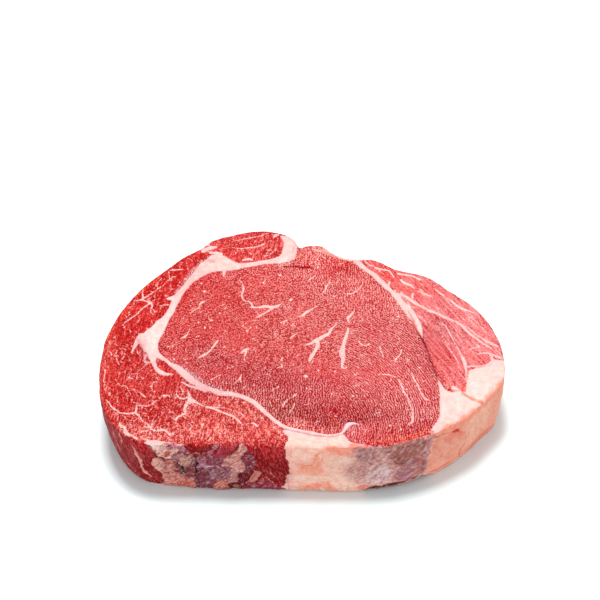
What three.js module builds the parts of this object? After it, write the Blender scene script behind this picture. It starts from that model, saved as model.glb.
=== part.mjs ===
// A thick boneless slice of raw beef rib roast, lying on its lower cut face.
//
// Millimetres, +Z up. The origin is the middle of the slice's footprint, on the surface it lies on.
// +X runs from the rib cap to the fatty tail, and +Y from the near edge to the far edge.
//
// The slice is one solid. Its edge is one closed curve seen from above. The upper cut face swells a
// little at the eye muscle, the wall bulges on the near side and is drawn in below the rib cap and a
// little below the fat lobes, and the lower cut face is flat.

import * as THREE from "three";

// Driving dimensions
const THICKNESS = 35; // from the surface below to the crown of the upper cut face
const FACE_DROP = 0.6; // how far the upper face falls from its crown to its edge
const UPPER_ROUND = 1.5; // rounding between the upper face and the wall
const LOWER_ROUND = 1.2; // rounding between the wall and the lower face
const NEAR_BULGE = 1.5; // how far the wall swells out on the near side, at mid height

// Where the foot of the wall is drawn in: the direction of the deepest place in degrees from +X,
// how deep it is, and how many degrees to each side it fades over.
const UNDERCUTS = {
  belowRibCap: { at: -155, depth: 4.4, spread: 34 },
  belowFatLobes: { at: -28, depth: 2.4, spread: 20 },
};

// How finely the solid is faceted
const SECTORS = 132; // around the edge
const FACE_RINGS = 9; // from the middle of the upper face to its rounding
const ROUND_STEPS = 3; // across each rounding
const WALL_STEPS = 5; // up the wall between the roundings

// Where the edge of the upper cut face passes, anticlockwise seen from above, by what it bounds.
const EDGE = {
  ribCapNear: [[-93.4, -22], [-90.4, -43.3], [-82, -56.8], [-72, -63.2]],
  nearSide: [[-50, -64.5], [-20, -64.9], [15, -65.8], [38, -64.9], [55, -59.8]],
  fatLobes: [[63, -55.8], [75, -48], [84.4, -37.8], [91.8, -28.4]],
  tailTip: [[93.3, -19], [93, -9], [89.3, 4.6]],
  tail: [[83.4, 15], [77, 22.5], [70.6, 28], [64.2, 34.4], [57.5, 38.5], [50.8, 40.4]],
  farSide: [[44.4, 42.3], [37.6, 47], [30.8, 49.2], [23.9, 49], [17.4, 51], [13.8, 54]],
  farBump: [[10.2, 57.6], [4.4, 58.5], [0.6, 57.4]],
  cleft: [[-2, 55.4]],
  smallMuscle: [[-3, 61.2], [-8.6, 65.6], [-20, 67.9], [-34.2, 65], [-44.4, 61]],
  ribCapFar: [[-50.6, 55.2], [-57.9, 50], [-67.5, 39.9], [-77, 29.6], [-85.8, 14.6], [-91.6, -1.4]],
};

// The edge as SECTORS points at even spacing along one smooth closed curve.
function edgePoints() {
  const landmarks = Object.values(EDGE).flat();
  const curve = new THREE.CatmullRomCurve3(
    landmarks.map(([x, y]) => new THREE.Vector3(x, y, 0)),
    true,
    "centripetal",
  );
  curve.arcLengthDivisions = 2000;
  return curve.getSpacedPoints(SECTORS).slice(0, SECTORS);
}

// Height of the upper cut face, where share is 0 in the middle and 1 at the edge.
function faceHeight(share) {
  return THICKNESS - FACE_DROP * share ** 3;
}

// How far the wall stands out from the edge curve, at a point of it and a share of the height.
function wallOffset(point, upShare) {
  const nearness = THREE.MathUtils.clamp(-point.y / point.length(), 0, 1);
  const bulge = NEAR_BULGE * nearness * Math.sin(Math.PI * upShare);
  const direction = THREE.MathUtils.radToDeg(Math.atan2(point.y, point.x));
  let drawnIn = 0;
  for (const { at, depth, spread } of Object.values(UNDERCUTS)) {
    const away = THREE.MathUtils.euclideanModulo(direction - at + 180, 360) - 180;
    drawnIn += depth * Math.exp(-((away / spread) ** 2));
  }
  return bulge - drawnIn * (1 - upShare) ** 1.5;
}

// The slice's profile from the middle of the lower face to the middle of the upper one. Each step
// has a share, which scales the edge about the middle, an inset from the edge, and a height.
function profile() {
  const steps = [];
  for (const share of [0.45, 0.8]) {
    steps.push({ share, inset: LOWER_ROUND, z: 0 });
  }
  for (let i = 0; i <= ROUND_STEPS; i++) {
    const turn = (Math.PI / 2) * (i / ROUND_STEPS);
    const inset = LOWER_ROUND * (1 - Math.sin(turn));
    steps.push({ share: 1, inset, z: LOWER_ROUND * (1 - Math.cos(turn)) });
  }
  const wallTop = faceHeight(1) - UPPER_ROUND;
  for (let i = 1; i < WALL_STEPS; i++) {
    const z = THREE.MathUtils.lerp(LOWER_ROUND, wallTop, i / WALL_STEPS);
    steps.push({ share: 1, inset: 0, z });
  }
  for (let i = 0; i <= ROUND_STEPS; i++) {
    const turn = (Math.PI / 2) * (i / ROUND_STEPS);
    const inset = UPPER_ROUND * (1 - Math.cos(turn));
    steps.push({ share: 1, inset, z: wallTop + UPPER_ROUND * Math.sin(turn) });
  }
  for (let i = FACE_RINGS - 1; i > 0; i--) {
    const share = i / FACE_RINGS;
    steps.push({ share, inset: UPPER_ROUND, z: faceHeight(share) });
  }
  return steps;
}

// The closed surface: one ring of points for each step of the profile, and a point at each end.
function sliceGeometry() {
  const edge = edgePoints();
  const steps = profile();
  const positions = [];
  for (const { share, inset, z } of steps) {
    for (const point of edge) {
      const radius = point.length() + wallOffset(point, z / THICKNESS) - inset;
      const place = point.clone().setLength(radius * share);
      positions.push(place.x, place.y, z);
    }
  }
  const lowerMiddle = positions.length / 3;
  positions.push(0, 0, 0);
  const upperMiddle = lowerMiddle + 1;
  positions.push(0, 0, faceHeight(0));

  const triangles = [];
  const last = (steps.length - 1) * SECTORS;
  for (let i = 0; i < SECTORS; i++) {
    const next = (i + 1) % SECTORS;
    triangles.push(lowerMiddle, next, i);
    triangles.push(upperMiddle, last + i, last + next);
    for (let row = 0; row < last; row += SECTORS) {
      const above = row + SECTORS;
      triangles.push(row + i, row + next, above + next);
      triangles.push(row + i, above + next, above + i);
    }
  }
  const geometry = new THREE.BufferGeometry();
  geometry.setAttribute("position", new THREE.Float32BufferAttribute(positions, 3));
  geometry.setIndex(triangles);
  geometry.computeVertexNormals();
  return geometry;
}

// Puts the middle of the footprint's bounding box on the Z axis.
function centred(geometry) {
  geometry.computeBoundingBox();
  const middle = geometry.boundingBox.getCenter(new THREE.Vector3());
  return geometry.translate(-middle.x, -middle.y, 0);
}

const rawBeef = new THREE.MeshStandardMaterial({ color: 0xc8474b, roughness: 0.5, metalness: 0 });
const ribRoast = new THREE.Mesh(centred(sliceGeometry()), rawBeef);
ribRoast.name = "rib_roast";

const slice = new THREE.Group();
slice.add(ribRoast);

export default slice;
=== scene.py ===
# %% [markdown]
# # A thick slice of raw beef rib roast
#
# A rib roast is a bundle of muscles held together by seams of fat. Cut across, the slice shows the
# round eye muscle in the middle, the rib cap wrapped round its left side, a fatty tail on the right,
# and a small muscle at the far edge.
#
# The slice is one closed skin in Blender. The plan is:
#
# 1. load the plain solid and measure it;
# 2. build a fine skin of the same size around it;
# 3. work out, for each point of the skin, which tissue lies there;
# 4. raise and sink the skin where one tissue stands above another;
# 5. let one material turn those facts into lean, fat and film.
#
# Sizes are written in millimetres, because that is how meat is measured, and turned into metres last.

# %% Load the plain solid
import math

import bpy
import numpy as np
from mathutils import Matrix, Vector
from mathutils.bvhtree import BVHTree
from mathutils.geometry import delaunay_2d_cdt


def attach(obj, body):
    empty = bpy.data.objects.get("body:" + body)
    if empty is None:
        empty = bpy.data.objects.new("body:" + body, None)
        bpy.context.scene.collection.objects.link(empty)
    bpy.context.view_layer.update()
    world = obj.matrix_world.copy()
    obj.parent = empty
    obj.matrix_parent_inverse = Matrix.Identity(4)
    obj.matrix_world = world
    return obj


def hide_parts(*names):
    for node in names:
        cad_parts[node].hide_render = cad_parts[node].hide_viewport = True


MM = 0.001
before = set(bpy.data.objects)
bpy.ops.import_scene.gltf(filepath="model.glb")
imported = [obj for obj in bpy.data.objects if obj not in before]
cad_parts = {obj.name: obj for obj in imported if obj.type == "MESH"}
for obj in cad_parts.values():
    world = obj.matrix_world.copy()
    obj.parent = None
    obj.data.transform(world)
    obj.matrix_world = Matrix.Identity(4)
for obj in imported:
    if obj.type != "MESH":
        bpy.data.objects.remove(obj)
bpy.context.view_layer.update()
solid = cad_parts["rib_roast"]

# %% [markdown]
# ## Camera
#
# The eye looks down on the slice at about half a right angle, from a good distance, so that parallel
# edges stay nearly parallel. A long lens from far off does this better than a short one from nearby.

# %% Camera
SIGHT_FROM = (-0.5, -587.6, 710.8)
SIGHT_DOWN = 48.01  # degrees below the horizon
SIGHT_TURN = 0.06
LENS = 115
SENSOR_WIDTH = 36

camera_data = bpy.data.cameras.new("camera")
camera_data.lens = LENS
camera_data.sensor_width = SENSOR_WIDTH
camera = bpy.data.objects.new("camera", camera_data)
camera.location = Vector(SIGHT_FROM) * MM
camera.rotation_euler = (math.radians(90 - SIGHT_DOWN), 0, math.radians(SIGHT_TURN))
bpy.context.scene.collection.objects.link(camera)
bpy.context.scene.camera = camera
print("camera stands", round(camera.location.length, 3), "m from the slice")

# %% [markdown]
# ## Floor and light
#
# Raw meat is shown on a white ground under soft light. One large lamp hangs above and a little behind
# the slice, so that the cut face is bright, the near wall is dimmer, and a soft shadow lies in front.
# The pale world fills the rest. The plain Standard view keeps the reds as they are mixed.

# %% Floor and light
FLOOR_SIDE = 6.0
GROUND_COLOUR = (0.85, 0.96, 0.97, 1)
GROUND_ROUGHNESS = 0.9
GROUND_SHINE = 0.1
ROOM_STRENGTH = 0.7
LAMP_PLACE = (-0.07, 0.19, 1.3)
LAMP_SIDE = 0.3
LAMP_WATTS = 15.4

floor_mesh = bpy.data.meshes.new("floor")
half_floor = FLOOR_SIDE / 2
floor_corners = [(-half_floor, -half_floor, 0), (half_floor, -half_floor, 0)]
floor_corners += [(half_floor, half_floor, 0), (-half_floor, half_floor, 0)]
floor_mesh.from_pydata(floor_corners, [], [(0, 1, 2, 3)])
floor = bpy.data.objects.new("floor", floor_mesh)
bpy.context.scene.collection.objects.link(floor)
white_ground = bpy.data.materials.new("white_ground")
white_ground.use_nodes = True
ground_shader = white_ground.node_tree.nodes["Principled BSDF"]
ground_shader.inputs["Base Color"].default_value = GROUND_COLOUR
ground_shader.inputs["Roughness"].default_value = GROUND_ROUGHNESS
ground_shader.inputs["Specular IOR Level"].default_value = GROUND_SHINE
floor_mesh.materials.append(white_ground)

world = bpy.data.worlds.new("pale_room")
world.use_nodes = True
room = world.node_tree.nodes["Background"]
room.inputs["Color"].default_value = (1, 1, 1, 1)
room.inputs["Strength"].default_value = ROOM_STRENGTH
bpy.context.scene.world = world
bpy.context.scene.view_settings.view_transform = "Standard"
bpy.context.scene.view_settings.look = "None"

lamp_data = bpy.data.lights.new("window_above", "AREA")
lamp_data.size = LAMP_SIDE
lamp_data.energy = LAMP_WATTS
lamp = bpy.data.objects.new("window_above", lamp_data)
lamp.location = LAMP_PLACE
lamp.rotation_euler = (-Vector(LAMP_PLACE)).to_track_quat("-Z", "Y").to_euler()
bpy.context.scene.collection.objects.link(lamp)
print("floor side", FLOOR_SIDE, "m, room strength", ROOM_STRENGTH, "and lamp of", LAMP_WATTS, "W")

# %% [markdown]
# ## Measuring the plain solid
#
# Seen from above, every point of the slice's wall can be reached in a straight line from the middle. So
# one number for each direction and height, the distance from the middle to the wall, describes it all.
# Rays shot outwards at the heights where the solid has its corners find those numbers, and a little
# smoothing takes the flats off.

# %% Measure the plain solid
THICKNESS = 35.0
RIM_HEIGHT = 34.4
MEASURED_HEIGHTS = (0.02, 0.16, 0.6, 1.2, 7.5, 13.9, 20.2, 26.6, 32.9, 33.65, 34.2, 34.38)
DIRECTIONS = 1440
FLATS_SMOOTHED = 0.8  # degrees

corners = [v.co for v in solid.data.vertices]
tree = BVHTree.FromPolygons(corners, [tuple(p.vertices) for p in solid.data.polygons])
turns = np.arange(DIRECTIONS) * (2 * math.pi / DIRECTIONS)


def ray_length(turn, height):
    """Distance in mm from the middle line to the wall, in one direction at one height."""
    way = Vector((math.cos(turn), math.sin(turn), 0))
    return tree.ray_cast(Vector((0, 0, height * MM)), way)[3] / MM


def smoothed_round(values, reach):
    """A closed row of values, each averaged with its neighbours, reach in degrees."""
    steps = np.arange(DIRECTIONS)
    away = np.minimum(steps, DIRECTIONS - steps) * (360 / DIRECTIONS)
    weights = np.exp(-0.5 * (away / reach) ** 2)
    return np.real(np.fft.ifft(np.fft.fft(values) * np.fft.fft(weights / weights.sum())))


wall_table = np.array([[ray_length(t, h) for t in turns] for h in MEASURED_HEIGHTS])
wall_table = np.array([smoothed_round(row, FLATS_SMOOTHED) for row in wall_table])


def radius_at(turn, height):
    """Distance in mm from the middle to the wall, for arrays of directions and heights."""
    rows = np.array([np.interp(turn, turns, row, period=2 * math.pi) for row in wall_table])
    place = np.interp(height, MEASURED_HEIGHTS, np.arange(len(rows)))
    low = np.minimum(place.astype(int), len(rows) - 2)
    part = place - low
    column = np.arange(len(turn))
    return rows[low, column] * (1 - part) + rows[low + 1, column] * part


print("wall is", wall_table.min().round(1), "to", wall_table.max().round(1), "mm from the middle")

# %% [markdown]
# ## Distance along the edge
#
# The wall is easiest to describe unrolled, like the label of a tin: how far along the edge, from the
# leftmost point of the rib cap past the near side, and how high. The columns of the skin stand close
# together on the near side, where the wall shows its membranes, and wider apart at the back.

# %% Distance along the edge
LEFTMOST = math.atan2(-22.3, -93.4)
NEAR_LENGTH = 232.0
NEAR_COLUMN = 0.5
FAR_COLUMN = 1.6
FINE_PARTS = ((50, 108, 0.38), (142, 182, 0.42))  # from, to and spacing, where the membranes are
ROW = 0.56
FOOT_ROUND = (0.0, 0.16, 0.6, 1.2)  # heights of the rows across the rounding at the foot
RIM_ROUND = (32.9, 33.65, 34.2, RIM_HEIGHT)

sweep = LEFTMOST + np.arange(DIRECTIONS + 1) * (2 * math.pi / DIRECTIONS)
edge_radius = radius_at(sweep, np.full(len(sweep), RIM_ROUND[0]))
edge_x = edge_radius * np.cos(sweep)
edge_y = edge_radius * np.sin(sweep)
edge_length = np.concatenate([[0], np.cumsum(np.hypot(np.diff(edge_x), np.diff(edge_y)))])
EDGE_ROUND = edge_length[-1]
far_count = int((EDGE_ROUND - NEAR_LENGTH) / FAR_COLUMN)
far_columns = np.linspace(NEAR_LENGTH, EDGE_ROUND, far_count, endpoint=False)
near_columns = np.arange(0, NEAR_LENGTH, NEAR_COLUMN)
for begins, ends, spacing in FINE_PARTS:
    outside = near_columns[(near_columns < begins) | (near_columns >= ends)]
    near_columns = np.sort(np.concatenate([outside, np.arange(begins, ends - spacing / 2, spacing)]))
columns = np.concatenate([near_columns, far_columns])
column_turn = np.interp(columns, edge_length, sweep)
body_count = int((RIM_ROUND[0] - FOOT_ROUND[-1]) / ROW)
body_rows = np.linspace(FOOT_ROUND[-1], RIM_ROUND[0], body_count + 1)[1:-1]
rows = np.concatenate([FOOT_ROUND, body_rows, RIM_ROUND])
print("edge is", EDGE_ROUND.round(1), "mm round;", len(columns), "columns,", len(rows), "rows")

# %% [markdown]
# ## Lines, outlines and lumps
#
# Three small tools place the tissues. A stroke is a line with a half width at each landmark, which suits
# seams and veins of fat. An outline is a closed line, which suits lobes and patches. Both give the
# distance to their edge, below zero inside. Lumps are smooth random values, which keep the listed
# shapes from looking drawn with a ruler.

# %% Lines, outlines and lumps
FAR_AWAY = 9.0
TINY = 1e-9
LUMP_CELLS = 32


def rounded(line, step=0.8, closed=False):
    """A smooth curve through landmarks, as points about step mm apart."""
    marks = np.array(line, float)
    if len(marks) < 3:
        return marks
    if closed:
        marks = np.vstack([marks[-1], marks, marks[:2]])
    else:
        marks = np.vstack([2 * marks[0] - marks[1], marks, 2 * marks[-1] - marks[-2]])
    pieces = []
    for a, b, c, d in zip(marks, marks[1:], marks[2:], marks[3:]):
        count = max(2, int(np.hypot(*(c - b)[:2]) / step))
        t = np.linspace(0, 1, count, endpoint=False)[:, None]
        bend = (c - a) * t + (2 * a - 5 * b + 4 * c - d) * t**2 + (3 * b - a - 3 * c + d) * t**3
        pieces.append(b + bend / 2)
    if not closed:
        pieces.append(marks[-2:-1])
    return np.vstack(pieces)


def stroke_distance(points, line):
    """Distance in mm to a stroke's edge, below zero inside. Each landmark is x, y and half width."""
    found = np.full(len(points), FAR_AWAY)
    for a, b in zip(line, line[1:]):
        run = b[:2] - a[:2]
        from_a = points - a[:2]
        share = np.clip(from_a @ run / max(run @ run, TINY), 0, 1)
        away = np.hypot(*(from_a - share[:, None] * run).T)
        found = np.minimum(found, away - (a[2] + share * (b[2] - a[2])))
    return found


def outline_distance(points, outline):
    """Distance in mm to a closed outline, below zero inside."""
    found = np.full(len(points), np.inf)
    inside = np.zeros(len(points), bool)
    x, y = points.T
    for a, b in zip(outline, np.roll(outline, -1, axis=0)):
        run = b - a
        from_a = points - a
        share = np.clip(from_a @ run / max(run @ run, TINY), 0, 1)
        found = np.minimum(found, np.hypot(*(from_a - share[:, None] * run).T))
        crosses = (a[1] > y) != (b[1] > y)
        rise = run[1] if run[1] else TINY
        inside ^= crosses & (x < a[0] + (y - a[1]) * run[0] / rise)
    return np.where(inside, -found, found)


def lumps(points, size, seed):
    """Smooth random values between -1 and 1, with one lump about every size mm."""
    values = np.random.default_rng(seed).uniform(-1, 1, (LUMP_CELLS,) * points.shape[1])
    place = points / size
    base = np.floor(place).astype(int)
    part = place - base
    part = part * part * (3 - 2 * part)
    total = np.zeros(len(points))
    for corner in np.ndindex(*(2,) * points.shape[1]):
        weight = np.prod(np.where(corner, part, 1 - part), axis=1)
        total += weight * values[tuple(((base + corner) % LUMP_CELLS).T)]
    return total


def lump_pair(points, size, seed):
    """Two lots of lumps side by side, as a shift along each axis of a map."""
    return np.stack([lumps(points, size, seed), lumps(points, size, seed + 1)], axis=1)


def lump_sum(points, parts):
    """Lumps of several sizes. Each part has a strength, how much upright lengths count, a size and a seed."""
    total = np.zeros(len(points))
    level = (1,) * (points.shape[1] - 1)
    for strength, upright, size, seed in parts:
        total += strength * lumps(points * (*level, upright), size, seed)
    return total


def ease(value, low, high):
    """0 below low, 1 above high, and a soft step between."""
    t = np.clip((value - low) / (high - low), 0, 1)
    return t * t * (3 - 2 * t)


print("a stroke 2 mm wide, 3 mm from its middle line:",
      stroke_distance(np.array([[0.0, 3.0]]), np.array([[-5, 0, 1], [5, 0, 1]])))

# %% [markdown]
# ## Seams and lobes of fat
#
# Thick white fat parts the muscles. The seam between the eye and the cap starts wide at the far left,
# thins round the eye, and ends in a small curl at the near edge. Another seam runs down the right side of
# the eye, and two round lobes of fat sit at the near right corner.

# %% Seams and lobes of fat
SEAMS = {
    "eye to cap": [
        (-41, 45.5, 5.6), (-45.5, 43, 4.4), (-49.8, 38.6, 2.7), (-54, 33.1, 1.7), (-56.8, 28.4, 1.5),
        (-59.2, 23.4, 1.8), (-60.9, 18.5, 1.8), (-62.2, 14, 1.7), (-64.2, 9.5, 2), (-66.8, 5, 3),
        (-69, 0.5, 3.8), (-71.4, -4, 4.6), (-70.7, -8, 3.5), (-68.7, -11.8, 2.5), (-66.6, -13.4, 1.6),
        (-63.6, -15.7, 0.9), (-60.6, -18.4, 0.9), (-57.5, -21, 1.5), (-54.5, -24.1, 1.9),
        (-51.5, -27.4, 2), (-48.4, -30, 1.6), (-45, -32, 1.4), (-41, -34.3, 1.3), (-37, -36, 1.5),
        (-32, -36.5, 1.3), (-28, -37.6, 1.1), (-24.5, -39.4, 1.2), (-21, -42, 1.3), (-17.6, -46, 1.1),
        (-13.8, -50, 0.95), (-10.2, -53.6, 0.95), (-6.6, -55.6, 0.9), (-1, -57.2, 0.75), (5, -58.7, 0.7),
        (12, -59.8, 0.6), (17, -58.8, 0.6), (19, -56.6, 0.8), (20.2, -54.2, 1.0), (22.4, -53.2, 0.8),
        (24.4, -53.6, 0.4), (25.6, -54.2, 0.2),
    ],
    "hook into the cap": [
        (-69.4, -14, 2.1), (-68.8, -17, 1.2), (-67.7, -19.8, 0.8), (-66.4, -22.2, 1.2), (-64.6, -23.8, 1.3),
        (-62, -24.5, 0.8), (-59.4, -24, 0.2),
    ],
    "spur into the cap": [(-74.6, -2.6, 2.8), (-77, -5.4, 1.2), (-78.3, -9, 0.6), (-79.3, -11.8, 0.3)],
    "bump on the seam": [(-61.2, 22.6, 1.7), (-64, 22, 0.7)],
    "ring below the spur": [(-72, -13.2, 0.5), (-73, -15.5, 0.4), (-71.8, -17.8, 0.5), (-69.6, -17.4, 0.5)],
    "eye to far muscle": [
        (-41, 45.5, 5.8), (-35.5, 43.6, 3.5), (-30, 43.3, 1.9), (-25, 44.4, 1.5), (-19, 45.8, 1.4),
        (-14, 46.8, 1.8), (-10.4, 47.6, 2.7), (-7.2, 49.8, 3.2), (-6.2, 53, 3.5), (-6, 57, 3.3),
        (-6.2, 60.5, 3), (-10, 63.3, 0.8),
    ],
    "drip into the eye": [(-37.6, 39.5, 0.8), (-37.8, 37.5, 0.45), (-37.7, 36.3, 0.3)],
    "cap to far muscle": [(-48.3, 53.4, 0.9), (-45.6, 55.4, 1.2), (-42.4, 56.2, 0.8)],
    "under far muscle": [(-45, 52.6, 0.7), (-42.5, 52.2, 0.8), (-39.4, 51.6, 1)],
    "right of the eye": [
        (26.5, 46.6, 1.6), (29.4, 42.8, 1.3), (32.4, 39.6, 1.1), (35, 36.8, 1.3), (37.4, 33.4, 1.3),
        (39.6, 30.4, 1.3), (42.2, 27, 1.2), (45, 23.3, 1.6), (47.8, 19, 2.1), (50.2, 14.5, 2.2),
        (52.2, 10, 2), (54, 6, 1.6), (55.2, 2, 1.1), (55.8, -0.6, 0.5), (56, -2, 0.2),
    ],
    "through the tail": [
        (45, 25.2, 0.7), (48, 24, 0.7), (50.5, 22, 0.9), (53, 19.8, 0.9), (55.5, 17.8, 0.7),
        (58, 15.9, 0.6), (60.5, 14.3, 0.75), (63.5, 12.9, 0.6), (66.5, 10.8, 0.8), (70, 8.6, 0.5),
        (73, 7, 0.65), (75.4, 4.6, 0.75), (77.2, 2, 0.7), (79.2, -0.4, 0.65), (82, -3.6, 0.6),
        (84.4, -6, 0.5), (88, -8.6, 0.4),
    ],
    "beside it, outer": [
        (76.4, 5.2, 0.2), (79, 2.6, 0.35), (81.6, -0.4, 0.3), (84.6, -3.2, 0.5), (87.6, -5.4, 0.6),
        (90.4, -7, 0.7), (92.6, -8.4, 0.7),
    ],
    "tip of the tail": [
        (80.4, -13, 0.2), (83, -11.7, 0.4), (86.4, -11.8, 0.45), (90, -13.6, 0.6), (93, -15.2, 0.6),
    ],
    "under the tip": [(86.6, -12.6, 0.2), (87.6, -14.6, 0.6), (88.2, -17, 1)],
    "along the lobe": [
        (75.4, -19.9, 0.5), (78.5, -19.6, 0.45), (82, -19.6, 0.4), (85, -18.8, 0.5), (87.4, -17, 0.8),
    ],
    "down the tail": [
        (64.4, 8, 0.2), (67.4, 4.4, 0.3), (69.4, -1, 0.35), (71, -6, 0.25), (73, -12, 0.4), (74.6, -16, 0.9),
        (75.2, -19.5, 0.7), (75.2, -23, 0.4), (74.8, -28, 0.25),
    ],
    "far rim": [
        (4.6, 55.4, 0.2), (7.6, 54, 0.7), (10.5, 53, 1), (14, 51.4, 0.8), (18, 49.6, 0.5), (22, 48.3, 0.6),
        (25.6, 47.4, 0.7),
    ],
    "rim above the strip": [
        (-70.5, -62, 0.2), (-68.6, -62.7, 0.6), (-66.4, -63.2, 0.9), (-64, -63.8, 1), (-61.6, -64.2, 1),
        (-58, -64.4, 0.6), (-54, -64.7, 0.6), (-51, -64.9, 0.2),
    ],
    "branch below the lower seam": [
        (-55, -29.4, 0.4), (-51, -31.9, 0.6), (-47, -33.2, 0.8), (-43.4, -35, 0.4),
    ],
    "between the lobes": [(69, -32.6, 1.2), (74, -36.6, 1.6), (79, -40, 2), (84, -42.6, 3), (90, -44, 4)],
    "near lobe to the eye": [
        (57.2, -57.5, 0.5), (60, -54.4, 0.9), (62.6, -48.5, 0.9), (63.2, -41, 0.9), (62.9, -30, 0.5),
    ],
}
LOBES = {
    "near lobe": [
        (62.3, -27.2), (64, -31.4), (66, -34.2), (69, -35), (72, -35.2), (74.6, -37.8), (78, -40.6),
        (80.4, -42.2), (82.5, -46), (75, -54), (62, -60), (58.2, -56), (61, -50.5), (62.7, -44),
        (62.9, -36), (62.2, -30.5),
    ],
    "far lobe": [
        (77, -22), (80, -20.8), (84, -20), (87, -18), (89, -15.8), (95, -17.4), (96, -28), (88, -38),
        (84.5, -40.6), (80, -40.6), (76.4, -38.2), (74.4, -35.6), (74.6, -31), (75.4, -27), (76.4, -23.6),
    ],
    "near edge": [
        (-6.2, -70), (-6.2, -62.6), (-7, -60), (-8.8, -57), (-5, -56.9), (3, -58.8), (12, -60), (18, -59),
        (20.6, -62.6), (24, -64.4), (30, -65.4), (33, -70),
    ],
}
print(len(SEAMS), "seams and", len(LOBES), "lobes of fat")

# %% [markdown]
# ## Marbling
#
# Inside the muscles thin veins of fat branch and taper. The eye has a few strong ones and many flecks. The
# cap has a fine net. The larger veins are placed one by one, and the smallest flecks are scattered by a
# seeded random generator, so that every run gives the same slice.

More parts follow.
